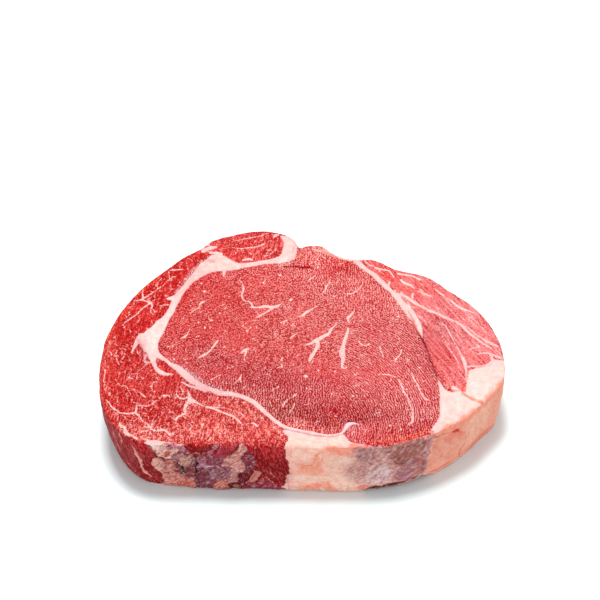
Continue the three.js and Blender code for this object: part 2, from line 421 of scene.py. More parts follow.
# %% Marbling
EYE_VEINS = [
    [(-29.2, 32.8, 0.2), (-28.5, 30.5, 0.3), (-28, 28.5, 0.55), (-28.3, 26, 0.5), (-28.9, 24, 0.45),
     (-28.4, 21.5, 0.4), (-27.4, 20.3, 0.3), (-25.2, 19.8, 0.4), (-24.3, 18.3, 0.4), (-23.6, 16.8, 0.5)],
    [(-24.7, 16.3, 0.4), (-21, 16.2, 0.6), (-17.5, 17, 0.85), (-15, 16.4, 0.95), (-12.5, 16.8, 0.7),
     (-9.2, 19.1, 0.2)],
    [(-22, 9.8, 0.2), (-19.8, 11, 0.5), (-17, 13.3, 0.4), (-14.2, 15.4, 0.5)],
    [(-21.9, 13.6, 0.2), (-20.6, 11.6, 0.4)],
    [(-10, 6.4, 0.35), (-8.5, 7.6, 0.35), (-5.4, 9.4, 0.2)],
    [(-2, 10.4, 0.35), (-0.2, 10.8, 0.55), (2, 13.2, 0.7), (4.5, 15, 0.35), (7.9, 17.9, 0.2)],
    [(2, 32.2, 0.2), (4, 34.6, 0.35), (6.2, 36.8, 0.3)],
    [(8.4, 24.2, 0.2), (10.5, 27, 0.4), (11.5, 30, 0.5), (13.3, 33.1, 0.3)],
    [(21.4, 25.1, 0.5), (23.5, 25, 0.3), (26, 27, 0.35), (28.8, 31.6, 0.2)],
    [(22, 6.4, 0.4), (21.6, 9.5, 0.7), (22.8, 11.5, 0.6), (24.1, 13.6, 0.45)],
    [(16.7, 7.6, 0.2), (14, 3, 0.5), (12, -0.3, 0.8), (9, -2.5, 1), (6.5, -4.5, 1.1), (4.5, -6, 0.8),
     (2.2, -7, 0.5)],
    [(7, -4.5, 1), (7, -8, 0.9), (5.3, -12, 0.8), (4, -15, 0.9), (3.2, -17, 0.45)],
    [(21.4, 3, 0.5), (20.8, 0, 0.7), (20, -3.5, 0.8), (19, -8, 1), (18.3, -12, 1.3), (18.8, -15, 1),
     (18.5, -18.5, 0.7), (18, -20.6, 0.5)],
    [(19, -21.1, 0.35), (20.2, -20.5, 0.3)],
    [(26.5, -5, 0.3), (27, -6.5, 0.5), (28.5, -7.4, 0.35), (30.5, -7, 0.5), (31.3, -6, 0.3)],
    [(46.2, -9.8, 0.35), (45.8, -11.5, 0.4), (45, -13.2, 0.35), (43.2, -15.5, 0.5), (42.8, -17.5, 0.2)],
    [(36.5, -25, 0.3), (39, -25, 0.35), (42.6, -26.4, 0.3)],
    [(44.2, -28, 0.3), (45.4, -32, 0.5), (46.3, -35, 0.5), (47.8, -39, 0.4), (48.9, -43, 0.4),
     (49.6, -47, 0.4), (49.6, -50, 0.6), (49, -52.4, 0.6), (47.5, -53.5, 0.4)],
    [(50.2, -24, 0.3), (50.8, -27.5, 0.5), (52.5, -31, 0.4), (54, -35.5, 0.4), (55.5, -38.5, 0.5),
     (57, -39.8, 0.5)],
    [(-39.5, -4.5, 0.5), (-40.3, -6, 0.5), (-42, -9.5, 0.4), (-44.5, -12.5, 0.5), (-46, -13.5, 0.7),
     (-48.5, -15.5, 0.2)],
    [(-24.6, -9.5, 0.3), (-26.5, -10, 0.7), (-28.6, -12.6, 0.3)],
    [(-26, -10.5, 0.6), (-26.6, -14, 0.4), (-26.6, -17, 0.2)],
    [(-9.2, -14.7, 0.4), (-9.9, -16.3, 0.6)],
    [(-9.8, -18.4, 0.3), (-9.2, -20.4, 0.4)],
    [(-5.5, -3, 0.4), (-4.5, -1.8, 0.4), (-2, 0.3, 0.25)],
    [(-19.7, -7.5, 0.4), (-17.8, -5, 0.2)],
    [(-63, -8.3, 0.4), (-60, -7.5, 0.3), (-58.2, -5.5, 0.2)],
    [(-55.8, -2.6, 0.5), (-54.7, -2, 0.6), (-53.5, 0.5, 0.2), (-52.8, 3, 0.2)],
    [(-53, 12.8, 0.3), (-50.5, 14.8, 0.25), (-49, 16, 0.3), (-48.6, 18.5, 0.4), (-47.8, 19.3, 0.6),
     (-45.8, 20.4, 0.3)],
    [(-44, 9.8, 0.3), (-42, 7.6, 0.45)],
    [(-31.5, -31, 0.2), (-30, -29, 0.3), (-28.6, -27.5, 0.4), (-28, -25.4, 0.3)],
    [(-28.2, -27.6, 0.4), (-28.4, -29.6, 0.3)],
    [(-14, -34, 0.25), (-12, -33, 0.3), (-10.7, -31.9, 0.3)],
    [(-8.8, -44, 0.4), (-8, -41.5, 0.4), (-6.5, -39.5, 0.25), (-4, -37.7, 0.4), (-3, -36.5, 0.5)],
    [(-5.5, -46.5, 0.3), (-4, -44, 0.35), (-3.5, -42, 0.4)],
    [(-42, -28.3, 0.35), (-40, -26.8, 0.3), (-37.5, -25, 0.25)],
    [(-18.5, -22.2, 0.25), (-17.2, -20.9, 0.45)],
    [(36.3, -7.4, 0.3), (36.2, -9.5, 0.35), (36.8, -12, 0.3), (37.5, -14.6, 0.2)],
    [(22, -56.4, 0.12), (25, -55.3, 0.18), (27.9, -57, 0.15), (28.3, -59.8, 0.12)],
    [(23, -60.2, 0.1), (22.4, -58.2, 0.14), (24.4, -56.9, 0.14)],
]
EYE_SPOTS = [
    (-46.5, 26.5, 0.7), (-48.2, 31.8, 0.4), (-51.3, 23.8, 0.4), (-43.2, 23.8, 0.4), (-39, 12.5, 0.5),
    (-48.8, 6.8, 0.5), (-45.7, 3.6, 0.6), (-53, 17.5, 0.4), (1.6, -26, 0.9), (23, -37.8, 0.6),
    (14.9, -23, 0.5), (24, -25, 0.4), (27.3, -13.2, 0.5), (15, -49, 0.35), (45, -3.2, 0.5),
    (53.7, -13, 0.4), (49.2, -16, 0.5), (39.3, -54.5, 0.6), (44.3, -56.5, 0.5), (47.5, -33.7, 0.5),
    (-3.8, 4.5, 0.4), (-5.4, 21.3, 0.8), (-10.8, 37.2, 0.8), (-18.6, 32, 0.5), (-21.3, 25, 0.5),
    (-28, 4.5, 0.5), (-25.6, 1.6, 0.5), (-22.7, -3.2, 0.5), (10.7, 5.5, 0.4), (-2, -13.4, 0.4),
    (7.4, -22.6, 0.6), (-20, -26.7, 0.4), (-36.2, -8.5, 0.4), (-59.4, -15.4, 0.6),
]
CAP_VEINS = [
    [(-65, 40.8, 0.4), (-61, 41, 0.55), (-57.8, 41.3, 0.6)],
    [(-67.6, 35.4, 0.4), (-69.4, 32.2, 0.3), (-69.4, 30, 0.35), (-68.8, 28.6, 0.4), (-66, 31.5, 0.3),
     (-63.8, 34.5, 0.35), (-64, 37, 0.3), (-64.2, 39.6, 0.4)],
    [(-63.8, 34.5, 0.3), (-62, 36.2, 0.35), (-60.5, 36.6, 0.25)],
    [(-75.8, 28.5, 0.4), (-76.2, 25.5, 0.4), (-75.3, 22.8, 0.5), (-72, 25.5, 0.35), (-68.8, 28.4, 0.3)],
    [(-75.3, 22.8, 0.4), (-76.5, 21.7, 0.6), (-78.3, 21, 0.4), (-80, 22, 0.3)],
    [(-76.5, 21.7, 0.5), (-74, 20.5, 0.5), (-72.3, 19.5, 0.8), (-71.2, 17.8, 0.5), (-71.7, 15.5, 0.3),
     (-71.8, 13.3, 0.3)],
    [(-72.8, 18.8, 0.5), (-75.5, 16, 0.4), (-78, 12.5, 0.4), (-81.5, 9, 0.4), (-84.5, 5.2, 0.3)],
    [(-69.3, 18.5, 0.3), (-67, 17.5, 0.3), (-65.5, 18.3, 0.3), (-63.4, 18.2, 0.5)],
    [(-77.5, 12, 0.3), (-76.5, 9.8, 0.25)],
    [(-71.7, 13.2, 0.3), (-70.7, 12.4, 0.3), (-69.3, 11.5, 0.25)],
    [(-52.2, -34, 0.3), (-51.6, -36.5, 0.7), (-50.9, -40, 1.5), (-52.4, -42.5, 1), (-53.2, -45.5, 0.8),
     (-52.8, -47.5, 0.8), (-55.5, -49.3, 0.5), (-57.2, -51.4, 0.6)],
    [(-50, -40, 1.2), (-47, -42.2, 0.6), (-43.5, -44, 0.5), (-40, -45, 0.5), (-36, -47, 0.6),
     (-33, -48.5, 0.7), (-30.5, -50, 0.5), (-28.5, -52, 0.5), (-26.6, -54.2, 0.3)],
    [(-43, -43.5, 0.4), (-39, -44.3, 0.4), (-33, -44.5, 0.2)],
    [(-57.2, -34.5, 0.3), (-57, -37, 0.4), (-56, -38.6, 0.5), (-54, -39.2, 0.6), (-52.3, -38.5, 0.6)],
    [(-55.5, -32.5, 0.3), (-54.8, -34.5, 0.3), (-54.2, -36, 0.2)],
    [(-89.5, -39.5, 0.3), (-87.5, -41.5, 0.4), (-86, -44, 0.5), (-83.5, -45.8, 0.5), (-82, -47, 0.5),
     (-79, -47.6, 0.5), (-76.5, -47.2, 0.5), (-74.8, -47.5, 0.7), (-73, -49.5, 0.5), (-72, -51.5, 0.5),
     (-69.5, -53, 0.4), (-68.5, -55.5, 0.4), (-65.5, -57.5, 0.5), (-60, -56.5, 0.3)],
    [(-75, -47, 0.5), (-75, -44.5, 0.45), (-74.8, -42.8, 0.5), (-72, -43, 0.4), (-69.5, -43, 0.4),
     (-67.5, -41.5, 0.3), (-66.3, -40, 0.6)],
    [(-74, -34.8, 0.3), (-73, -36.5, 0.5), (-71, -38, 0.4)],
    [(-67.5, -29, 0.5), (-68.8, -31, 0.3), (-68, -33.5, 0.3), (-67.5, -35, 0.5)],
    [(-63, -37.3, 0.8), (-61.5, -37.2, 0.4), (-59, -37.2, 0.25)],
    [(-85.5, -27.5, 0.3), (-84, -30.5, 0.3), (-82.5, -31.8, 0.2)],
    [(-80.3, -31, 0.3), (-79.3, -34, 0.3), (-78, -36.5, 0.25)],
    [(-90.5, -22, 0.35), (-91, -26, 0.35), (-91.3, -31, 0.35)],
    [(-82, -52.8, 0.5), (-81.4, -54.8, 0.9), (-79.7, -55.2, 0.8), (-79.2, -57.5, 0.7), (-77.8, -59.4, 0.9),
     (-75.6, -60.6, 1), (-73.6, -61.6, 0.6)],
    [(-72.8, -59, 0.3), (-71, -57.3, 0.3), (-68.5, -57.7, 0.3), (-67, -60, 0.3)],
    [(-66, -57.6, 0.4), (-63, -56.6, 0.5), (-60.5, -58, 0.6), (-58.6, -60, 0.4), (-59.6, -61.4, 0.3)],
    [(-46.2, -53.5, 0.2), (-45, -54.5, 0.4), (-45, -56, 0.3), (-46, -57.5, 0.3)],
    [(-44, -51.5, 0.4), (-42, -52.5, 0.3)],
    [(-24.3, -46.3, 0.3), (-21, -46.8, 0.4)],
    [(-22.5, -53, 0.6), (-20.4, -54.8, 0.7)],
    [(-43, -37.5, 0.3), (-42.4, -39, 0.3)],
    [(-87.5, -37, 0.4), (-87.7, -35.6, 0.5)],
    [(-81.5, -6.5, 0.35), (-80.6, -9, 0.3)],
    [(-86.3, -11, 0.3), (-86.2, -14, 0.3), (-85.2, -17, 0.35), (-84.4, -19, 0.25)],
    [(-75, -22.4, 0.2), (-73, -20, 0.3), (-71.6, -18, 0.3)],
    [(-75.2, -22.4, 0.25), (-75.6, -25.4, 0.25), (-75.8, -28, 0.2)],
    [(-82.6, -14.2, 0.3), (-83.2, -15.4, 0.5)],
]
FAR_MUSCLE_VEINS = [
    [(-33, 60, 0.3), (-30, 61, 0.4), (-25, 62.3, 0.45), (-21, 63.5, 0.45), (-18, 65, 0.45), (-16.6, 67, 0.4)],
    [(-38.5, 55, 0.25), (-35, 55.6, 0.3), (-31, 55.1, 0.45), (-27, 55.4, 0.4), (-22, 56.5, 0.5),
     (-19.5, 57.5, 0.5), (-17, 59.5, 0.3), (-14.5, 60.6, 0.25)],
    [(-20, 50.3, 0.2), (-17, 50.2, 0.35), (-15, 51.7, 0.35), (-13.5, 54, 0.4), (-12.3, 56, 0.4)],
    [(-29, 47, 0.5), (-26.4, 47.8, 0.9), (-24, 47.2, 0.5)],
    [(-24.6, 50.6, 0.2), (-23.8, 52.8, 0.3)],
    [(-14, 62.5, 0.6), (-13, 64, 0.9), (-11, 64.6, 0.6)],
]
TAIL_VEINS = [
    [(35.4, 42.4, 0.5), (38.6, 41.3, 0.6), (41.4, 40.6, 0.5), (43, 38.2, 0.4), (44.2, 35.8, 0.3)],
    [(41.6, 33, 0.5), (41.2, 30.6, 0.6), (41.4, 28.6, 0.7)],
    [(47.3, 34, 0.8), (49, 32.4, 0.9), (51.4, 30.8, 0.6), (53.4, 29, 0.3)],
    [(55, 26.8, 0.3), (58, 25.4, 0.5), (61, 23.4, 0.3)],
    [(62.8, 29, 0.3), (65, 26.6, 0.5), (67.2, 24, 0.4)],
    [(68.4, 22.6, 0.3), (72, 19.4, 0.5), (75, 16.4, 0.8), (78, 15, 0.6), (81.6, 13.2, 0.3)],
    [(46, 38.4, 0.7), (50, 37.6, 0.5), (54, 36.4, 0.5), (56.4, 34.6, 0.7)],
    [(62.6, 5.4, 0.15), (65, -0.4, 0.25), (67, -6, 0.2), (69.4, -11.4, 0.15)],
    [(67.6, -9, 0.2), (70, -13, 0.3), (71.8, -17.4, 0.25), (72.8, -22, 0.15)],
    [(71.4, 3, 0.15), (73.2, -2.4, 0.25), (74.4, -7.4, 0.2), (75.4, -12, 0.3)],
    [(79, 12, 0.15), (82.4, 7, 0.25), (85.6, 2, 0.2), (88, -2.4, 0.15)],
    [(44.3, 27.4, 0.5), (43.9, 25.6, 0.6)],
    [(47, 26.4, 0.5), (47.6, 24.6, 0.6)],
    [(52.6, 25.4, 0.5), (52.2, 22.6, 0.6)],
    [(55, 11, 0.4), (57, 9, 0.3), (58.4, 5.6, 0.2)],
    [(30.4, 46.6, 0.3), (32.4, 44.4, 0.4), (34.4, 43.6, 0.4)],
    [(59.2, 14.8, 0.3), (57.8, 12, 0.2)],
    [(77.6, -10, 0.2), (79.6, -8.4, 0.3), (82.4, -7.6, 0.3)],
]

FLECK_MARGIN = 1.5  # mm kept free inside the outline
FLECK_BEND = 0.35  # radians, as a spread
RUN_SHARES = (0.4, 1.5)
WIDTH_SHARES = (0.5, 1.3)
TAPER = (0.4, 1, 0.3)  # share of the half width at the start, the middle and the end


def scattered_flecks(outline, count, length, width, heading, spread, seed):
    """Short curved strokes of fat inside an outline, most of them along a heading in degrees."""
    random = np.random.default_rng(seed)
    low = np.min(outline, axis=0)
    high = np.max(outline, axis=0)
    flecks = []
    while len(flecks) < count:
        start = random.uniform(low, high)
        turn = math.radians(heading + random.normal(0, spread))
        bend = random.normal(0, FLECK_BEND)
        run = length * random.uniform(*RUN_SHARES)
        half = width * random.uniform(*WIDTH_SHARES)
        if outline_distance(start[None], np.array(outline, float))[0] > -FLECK_MARGIN:
            continue
        middle = start + run / 2 * np.array([math.cos(turn), math.sin(turn)])
        end = middle + run / 2 * np.array([math.cos(turn + bend), math.sin(turn + bend)])
        flecks.append([(*place, half * share) for place, share in zip((start, middle, end), TAPER)])
    return flecks


print(len(EYE_VEINS + CAP_VEINS + FAR_MUSCLE_VEINS + TAIL_VEINS), "veins,", len(EYE_SPOTS), "spots")

# %% [markdown]
# ## The muscles
#
# Each muscle has its own colour and grain. The outlines run along the middle of the seams, so their exact
# path hides under the fat. The smallest flecks are scattered muscle by muscle.

# %% The muscles
MUSCLES = {
    "eye": [
        (-52, 35), (-41, 42), (-30, 43), (-20, 45), (-8, 44), (-3, 49), (0, 60), (10, 60), (26, 50),
        (34, 37), (44, 24), (52, 9), (56.5, -3), (60, -19), (62, -27), (63, -44), (58, -57), (50, -63),
        (26, -64), (18, -60), (5, -60), (-8, -56.5), (-20, -43), (-32, -36.5), (-45, -32), (-54, -24),
        (-65, -15), (-68, -6), (-66, 4), (-60, 20),
    ],
    "cap": [
        (-42, 50), (-50, 62), (-110, 20), (-110, -75), (-4, -75), (-6, -58), (-20, -43), (-32, -36.5),
        (-45, -32), (-54, -24), (-65, -15), (-70, -6), (-67, 4), (-60, 20), (-50, 38),
    ],
    "far muscle": [
        (-48, 48), (-50, 62), (-25, 75), (-4, 70), (-7, 52), (-12, 47), (-22, 45.5), (-32, 45.5), (-38, 50),
    ],
    "tail": [
        (27, 52), (34, 38), (44, 25), (52, 11), (56.5, -1), (60, -18), (62.5, -27), (70, -36), (110, -36),
        (110, 10), (70, 50),
    ],
}
# how many in which muscle, length, half width, heading and spread in degrees
FLECKS = [
    ("eye", 210, 1.5, 0.2, 55, 35),
    ("eye", 90, 2.6, 0.16, 50, 25),
    ("cap", 330, 2.2, 0.2, 75, 40),
    ("cap", 330, 1.3, 0.22, 110, 60),
    ("far muscle", 60, 1.6, 0.2, 60, 40),
    ("tail", 50, 3.0, 0.2, -50, 14),
]
UPPER_SEED = 40
LOWER_SEED = 80

upper_flecks = []
lower_flecks = []
for number, (muscle, *shape) in enumerate(FLECKS):
    upper_flecks += scattered_flecks(MUSCLES[muscle], *shape, UPPER_SEED + number)
    lower_flecks += scattered_flecks(MUSCLES[muscle], *shape, LOWER_SEED + number)
print(len(upper_flecks), "flecks scattered on the upper face")

# %% [markdown]
# ## Slits and clefts
#
# Where two muscles part without fat between them, a dark slit opens. Each is a stroke with a depth and a
# darkness. They are as thin as a sheet of card, so they get finer points than the rest.

# %% Slits and clefts
SLITS = [
    ("slit right of the eye", 1.1, 1.0, [
        (54.9, -0.6, 0.1), (55.7, -2.8, 0.26), (56.4, -4.8, 0.42), (57, -6.6, 0.32), (57.6, -8.6, 0.22),
        (58.2, -11, 0.12)]),
    ("its lower part", 0.6, 0.75, [
        (58, -10, 0.16), (58.6, -13, 0.2), (59.2, -16, 0.26), (59.9, -18.8, 0.14), (60.4, -20.8, 0.2),
        (60.9, -22.8, 0.36), (61.4, -25, 0.28), (61.8, -28, 0.14)]),
    ("slit in the seam", 0.5, 0.5, [(51.8, 7.5, 0.05), (53, 4, 0.13), (54, 0.8, 0.16), (54.8, -1.4, 0.12)]),
    ("nick in the seam", 0.4, 0.4, [(47.5, 22.5, 0.1), (49, 20.5, 0.18), (50, 18.8, 0.1)]),
    ("cleft at the far edge", 0.5, 0.3, [
        (-9, 42.9, 0.06), (-4, 42.7, 0.12), (-2.4, 42.7, 0.34), (0, 42.2, 0.4), (3, 42.2, 0.3)]),
    ("cleft above the curl", 0.6, 0.5, [
        (20.4, -52, 0.12), (23, -51.5, 0.36), (26.4, -51.2, 0.44), (30, -50.3, 0.2)]),
    ("groove in the cap", 0.5, 0.3, [(-33, -53.5, 0.1), (-29, -56, 0.22), (-26, -58.8, 0.1)]),
]
print(len(SLITS), "slits, the deepest", max(depth for name, depth, darkness, line in SLITS), "mm")

# %% [markdown]
# ## Stains
#
# A little blood gathers in the creases of the fat and along the edges. Each stain is a stroke that tints
# fat and lean alike. One of them, under the near seam, is painted shadow: a mauve line that stands for the
# shade the raised seam throws.

# %% Stains
STAINS = [
    ("line between the lobes", (220, 128, 96), 1.0, [
        (72.6, -34, 0.6), (74.2, -37, 0.7), (77, -39.4, 0.8), (80.4, -40.6, 0.9), (84, -40.6, 0.5)]),
    ("orange tip of the lean", (226, 84, 62), 0.8, [(74.6, -29.6, 0.4), (74, -32, 0.8), (73, -34.4, 0.7)]),
    ("red lower edge of the tail", (226, 86, 78), 0.6, [
        (62.6, -27, 0.3), (65, -31.6, 0.5), (69, -34, 0.5), (73, -34, 0.4)]),
    ("crimson cleft", (176, 6, 18), 1.0, [
        (-9, 43, 0.2), (-4.6, 42.8, 0.5), (-2, 43, 1), (0.8, 42.6, 0.9), (3.4, 42.6, 1), (5, 41.6, 0.3)]),
    ("orange at the far rim", (226, 92, 66), 0.8, [
        (7.6, 56.4, 0.3), (10.5, 55.9, 0.6), (12.6, 54, 0.5), (16, 52.4, 0.2)]),
    ("red band at the far rim", (216, 50, 44), 0.85, [
        (13.4, 47.6, 0.3), (17, 47, 0.7), (21, 46.8, 0.7), (24.6, 45.4, 0.4)]),
    ("crimson blotch", (190, 28, 38), 0.8, [(14.4, 43.4, 0.3), (16.4, 42.4, 0.8), (19.6, 41, 0.4)]),
    ("second blotch", (190, 28, 38), 0.8, [(22, 45, 0.4), (23.6, 43.4, 0.7), (25.4, 42.6, 0.3)]),
    ("third blotch", (196, 36, 46), 0.7, [(22, 40.6, 0.3), (25, 38.4, 0.6), (27, 37, 0.3)]),
    ("streak at the far rim", (206, 44, 52), 0.6, [(2.4, 52, 0.2), (2.6, 47.6, 0.5), (2.2, 44, 0.3)]),
    ("silverskin by the cap", (206, 160, 156), 0.7, [
        (-45, 50.4, 0.6), (-49.4, 45.6, 1), (-52.8, 40.4, 1.1), (-55.8, 34.6, 1), (-58.2, 29.4, 0.8),
        (-60.4, 24.4, 0.6)]),
    ("grey spot of the seam", (188, 144, 141), 0.9, [(-44.8, 46.6, 1), (-43.2, 46.2, 1.1)]),
    ("silverskin on the lower seam", (198, 146, 150), 0.6, [
        (-59, -17.4, 0.3), (-54, -21.6, 0.9), (-49.6, -26, 1.3), (-45, -29.6, 1), (-40, -32.6, 0.9),
        (-34, -35, 0.8), (-28, -36.6, 0.6)]),
    ("fringe by the spur", (196, 124, 126), 0.75, [
        (-76.4, -4, 0.7), (-74.4, -9, 1), (-73, -14, 1), (-71, -18, 0.7)]),
    # painted shadow: a mauve line for the shade below the raised seam
    ("painted shadow under the seam", (178, 92, 104), 0.95, [
        (-8, -56.6, 0.15), (-4, -57.6, 0.35), (1, -58.9, 0.4), (6, -60.1, 0.35), (12, -60.8, 0.45),
        (17, -59.8, 0.2)]),
    ("warm streak of the near fat", (228, 164, 136), 0.6, [(-2, -62, 0.2), (3, -63.2, 0.4), (8, -64.4, 0.3)]),
    ("second warm streak", (226, 156, 128), 0.6, [(10.6, -62.4, 0.2), (14, -63.6, 0.4), (17, -64.6, 0.3)]),
    ("red streak by the near seam", (196, 50, 40), 0.7, [
        (-24, -51.6, 0.2), (-17, -56, 0.4), (-10, -60.4, 0.3)]),
    ("second red streak", (190, 44, 38), 0.7, [(-22, -57, 0.2), (-16, -60.4, 0.45), (-11, -62.6, 0.3)]),
    ("pale streak by the near seam", (246, 170, 158), 0.7, [
        (-13, -55, 0.2), (-10.4, -58.4, 0.5), (-7.8, -61.6, 0.4)]),
    ("crimson over the short grain", (162, 6, 22), 0.95, [
        (-10, -46.8, 0.3), (-6, -48.4, 0.8), (0, -49.6, 0.7), (6, -52.2, 0.9), (11, -54, 0.8), (15, -54.4, 1),
        (18, -52.6, 0.9)]),
    ("deep crease", (146, 6, 20), 0.9, [(-3, -43, 0.25), (3, -45.4, 0.5), (9, -45, 0.25)]),
    ("crease by the seam", (150, 20, 34), 0.85, [(-17, -43, 0.3), (-12.6, -46.6, 0.6), (-9, -50, 0.4)]),
    ("second deep crease", (150, 8, 22), 0.9, [(8, -48.6, 0.2), (13, -50, 0.5), (19, -49, 0.3)]),
    ("third deep crease", (150, 10, 24), 0.85, [(20, -46.6, 0.2), (26, -47.6, 0.4), (32, -46, 0.2)]),
    ("red fold beside the curl", (172, 34, 44), 0.7, [
        (33.6, -53, 0.3), (33, -57.4, 0.5), (30.8, -62.4, 0.4)]),
    ("red band of the near rim", (222, 78, 62), 0.9, [
        (21, -64.8, 0.3), (28, -64.3, 0.7), (34, -63.2, 0.9), (40, -62.2, 1), (47, -61.2, 1),
        (53, -58.8, 1.5), (56.4, -56.6, 1.7)]),
    ("red streak of the seam", (214, 70, 56), 0.8, [(49.8, 14, 0.2), (51.8, 9, 0.35), (53.4, 4.4, 0.45)]),
    ("red in the seam", (222, 96, 70), 0.9, [
        (50.6, 9.6, 0.1), (52.6, 5, 0.5), (53.8, 0.8, 0.5), (54.8, -1.6, 0.2)]),
    ("red nick", (196, 66, 50), 0.9, [(46.6, 23.2, 0.1), (48.6, 20.4, 0.5), (49.6, 18.4, 0.2)]),
    ("orange smear", (226, 70, 56), 0.6, [(12.5, -49, 0.5), (14.6, -51, 0.9), (16.6, -54, 0.4)]),
    ("red speck in the far fat", (218, 104, 82), 0.85, [(-4.6, 53.2, 0.5), (-4.2, 54.4, 0.4)]),
    ("orange streak of the far fat", (232, 140, 112), 0.7, [
        (-3.2, 60, 0.4), (-3.8, 57, 0.5), (-4.4, 55, 0.3)]),
    ("second streak of the far fat", (234, 168, 150), 0.6, [(-6.6, 61, 0.3), (-6.2, 57.6, 0.3)]),
    ("pink foot of the far fat", (238, 176, 166), 0.7, [
        (-14, 44.4, 0.5), (-9, 44, 0.6), (-5.6, 46, 0.7), (-3.4, 49.6, 0.6)]),
    ("orange rim of the cap", (232, 92, 62), 0.6, [
        (-93, -30, 0.4), (-93.6, -18, 0.7), (-91.4, -4, 0.9), (-86, 12, 0.9), (-78, 26, 0.8),
        (-68, 37, 0.7)]),
]
print(len(STAINS), "stains")

# %% [markdown]
# ## Points on the cut faces
#
# The skin needs fine points where tissue changes and can be coarser elsewhere. So the middle and both
# edges of every stroke get points of their own, and an even grid fills the space between. The same grid,
# coarser, serves for the lower face, which rests on the ground.

# %% Points on the cut faces
UPPER_GRID = 0.82
LOWER_GRID = 1.8
CLOSEST = 0.36
CLOSEST_AT_SLITS = 0.17
VEIN_STEP, VEIN_BESIDE = 0.45, 0.12
STAIN_STEP, STAIN_BESIDE = 0.6, 0.2
SLIT_STEP, SLIT_BESIDE = 0.24, (0.03, 0.3)
LOBE_STEP = 0.5
GRID_REACH = 100
ROWS_CLOSER = 0.88  # rows of staggered points stand this much closer than the points in a row
RING_MARGIN = 0.55
SAME_POINT = 1e-7


def along_stroke(line, step, beside):
    """Points on the middle of a stroke, and on both sides just beyond its edges."""
    middle = rounded(line, step)
    way = np.gradient(middle[:, :2], axis=0)
    side = np.stack([-way[:, 1], way[:, 0]], axis=1) / np.hypot(*way.T)[:, None]
    half = middle[:, 2:] + beside
    return np.vstack([middle[:, :2], middle[:, :2] + side * half, middle[:, :2] - side * half])


def thinned(points, cell):
    """The points with at most one in each square cell, the earlier ones kept."""
    kept = np.unique(np.floor(points / cell).astype(int), axis=0, return_index=True)[1]
    return points[np.sort(kept)]


def grid_between(points, spacing, ring_turn, ring_radius):
    """The given points and an even grid between them, inside a ring."""
    steps = np.arange(-GRID_REACH, GRID_REACH, spacing)
    x, y = np.meshgrid(steps, steps * ROWS_CLOSER)
    x = x + np.where(np.arange(len(steps)) % 2, spacing / 2, 0)[:, None]
    grid = np.stack([x.ravel(), y.ravel()], axis=1)
    if len(points):
        taken = {tuple(cell) for cell in np.floor(points / spacing).astype(int).tolist()}
        cells = np.floor(grid / spacing).astype(int).tolist()
        grid = grid[[tuple(cell) not in taken for cell in cells]]
        grid = np.vstack([points, grid])
    turn = np.arctan2(grid[:, 1], grid[:, 0])
    reach = np.interp(turn, ring_turn, ring_radius, period=2 * math.pi)
    return grid[np.hypot(*grid.T) < reach - RING_MARGIN]


def filled(ring, inner):
    """Triangles that fill a ring of points through the inner points. The ring is counted first."""
    points = np.vstack([ring, inner]).tolist()
    result = delaunay_2d_cdt(points, [], [list(range(len(ring)))], 1, SAME_POINT)
    source = [ids[0] for ids in result[3]]
    return [tuple(source[i] for i in face) for face in result[2]]


upper_strokes = list(SEAMS.values()) + EYE_VEINS + CAP_VEINS + FAR_MUSCLE_VEINS + TAIL_VEINS
fixed = [along_stroke(line, VEIN_STEP, VEIN_BESIDE) for line in upper_strokes + upper_flecks]
fixed += [along_stroke(stain[-1], STAIN_STEP, STAIN_BESIDE) for stain in STAINS]
fixed += [rounded(outline, LOBE_STEP, closed=True) for outline in LOBES.values()]
fixed += [np.array([[x, y], [x + r, y], [x, y + r], [x - r, y], [x, y - r]]) for x, y, r in EYE_SPOTS]
fixed = thinned(np.vstack(fixed), CLOSEST)
at_slits = [along_stroke(slit[-1], SLIT_STEP, beside) for slit in SLITS for beside in SLIT_BESIDE]
fixed = np.vstack([fixed, thinned(np.vstack(at_slits), CLOSEST_AT_SLITS)])

row_count, column_count = len(rows), len(columns)
grid_turn = np.tile(column_turn, row_count)
grid_height = np.repeat(rows, column_count)
grid_radius = radius_at(grid_turn, np.clip(grid_height, MEASURED_HEIGHTS[0], MEASURED_HEIGHTS[-1]))
wall = np.stack([grid_radius * np.cos(grid_turn), grid_radius * np.sin(grid_turn), grid_height], axis=1)
foot_ring = wall[:column_count, :2]
rim_ring = wall[-column_count:, :2]
upper = grid_between(fixed, UPPER_GRID, column_turn, grid_radius[-column_count:])
lower = grid_between(np.zeros((0, 2)), LOWER_GRID, column_turn, grid_radius[:column_count])
upper_faces = filled(rim_ring, upper)
lower_faces = filled(foot_ring, lower)
print(len(wall), "points on the wall,", len(upper), "on the upper face,", len(lower), "below")

# %% [markdown]
# ## One closed skin
#
# The wall is a band of four-sided faces. Its top row is the ring that the upper face fills, and its
# bottom row the ring that the lower face fills, so the three parts share their points and the skin has
# no open edge.

# %% One closed skin
share_out = np.hypot(*upper.T) / np.interp(
    np.arctan2(upper[:, 1], upper[:, 0]), column_turn, grid_radius[-column_count:], period=2 * math.pi)
upper_height = THICKNESS - (THICKNESS - RIM_HEIGHT) * share_out**3
skin = np.vstack([
    wall,
    np.column_stack([upper, upper_height]),
    np.column_stack([lower, np.zeros(len(lower))]),
])
wall_count = len(wall)
upper_start = wall_count
lower_start = wall_count + len(upper)

faces = []
for row in range(row_count - 1):
    for column in range(column_count):
        a = row * column_count + column
        b = row * column_count + (column + 1) % column_count
        faces.append((a, b, b + column_count, a + column_count))
rim_start = (row_count - 1) * column_count
ring_shift = np.arange(column_count) + rim_start
upper_number = np.concatenate([ring_shift, np.arange(len(upper)) + upper_start])
lower_number = np.concatenate([np.arange(column_count), np.arange(len(lower)) + lower_start])
faces += [tuple(upper_number[list(face)]) for face in upper_faces]
faces += [tuple(lower_number[list(face)][::-1]) for face in lower_faces]

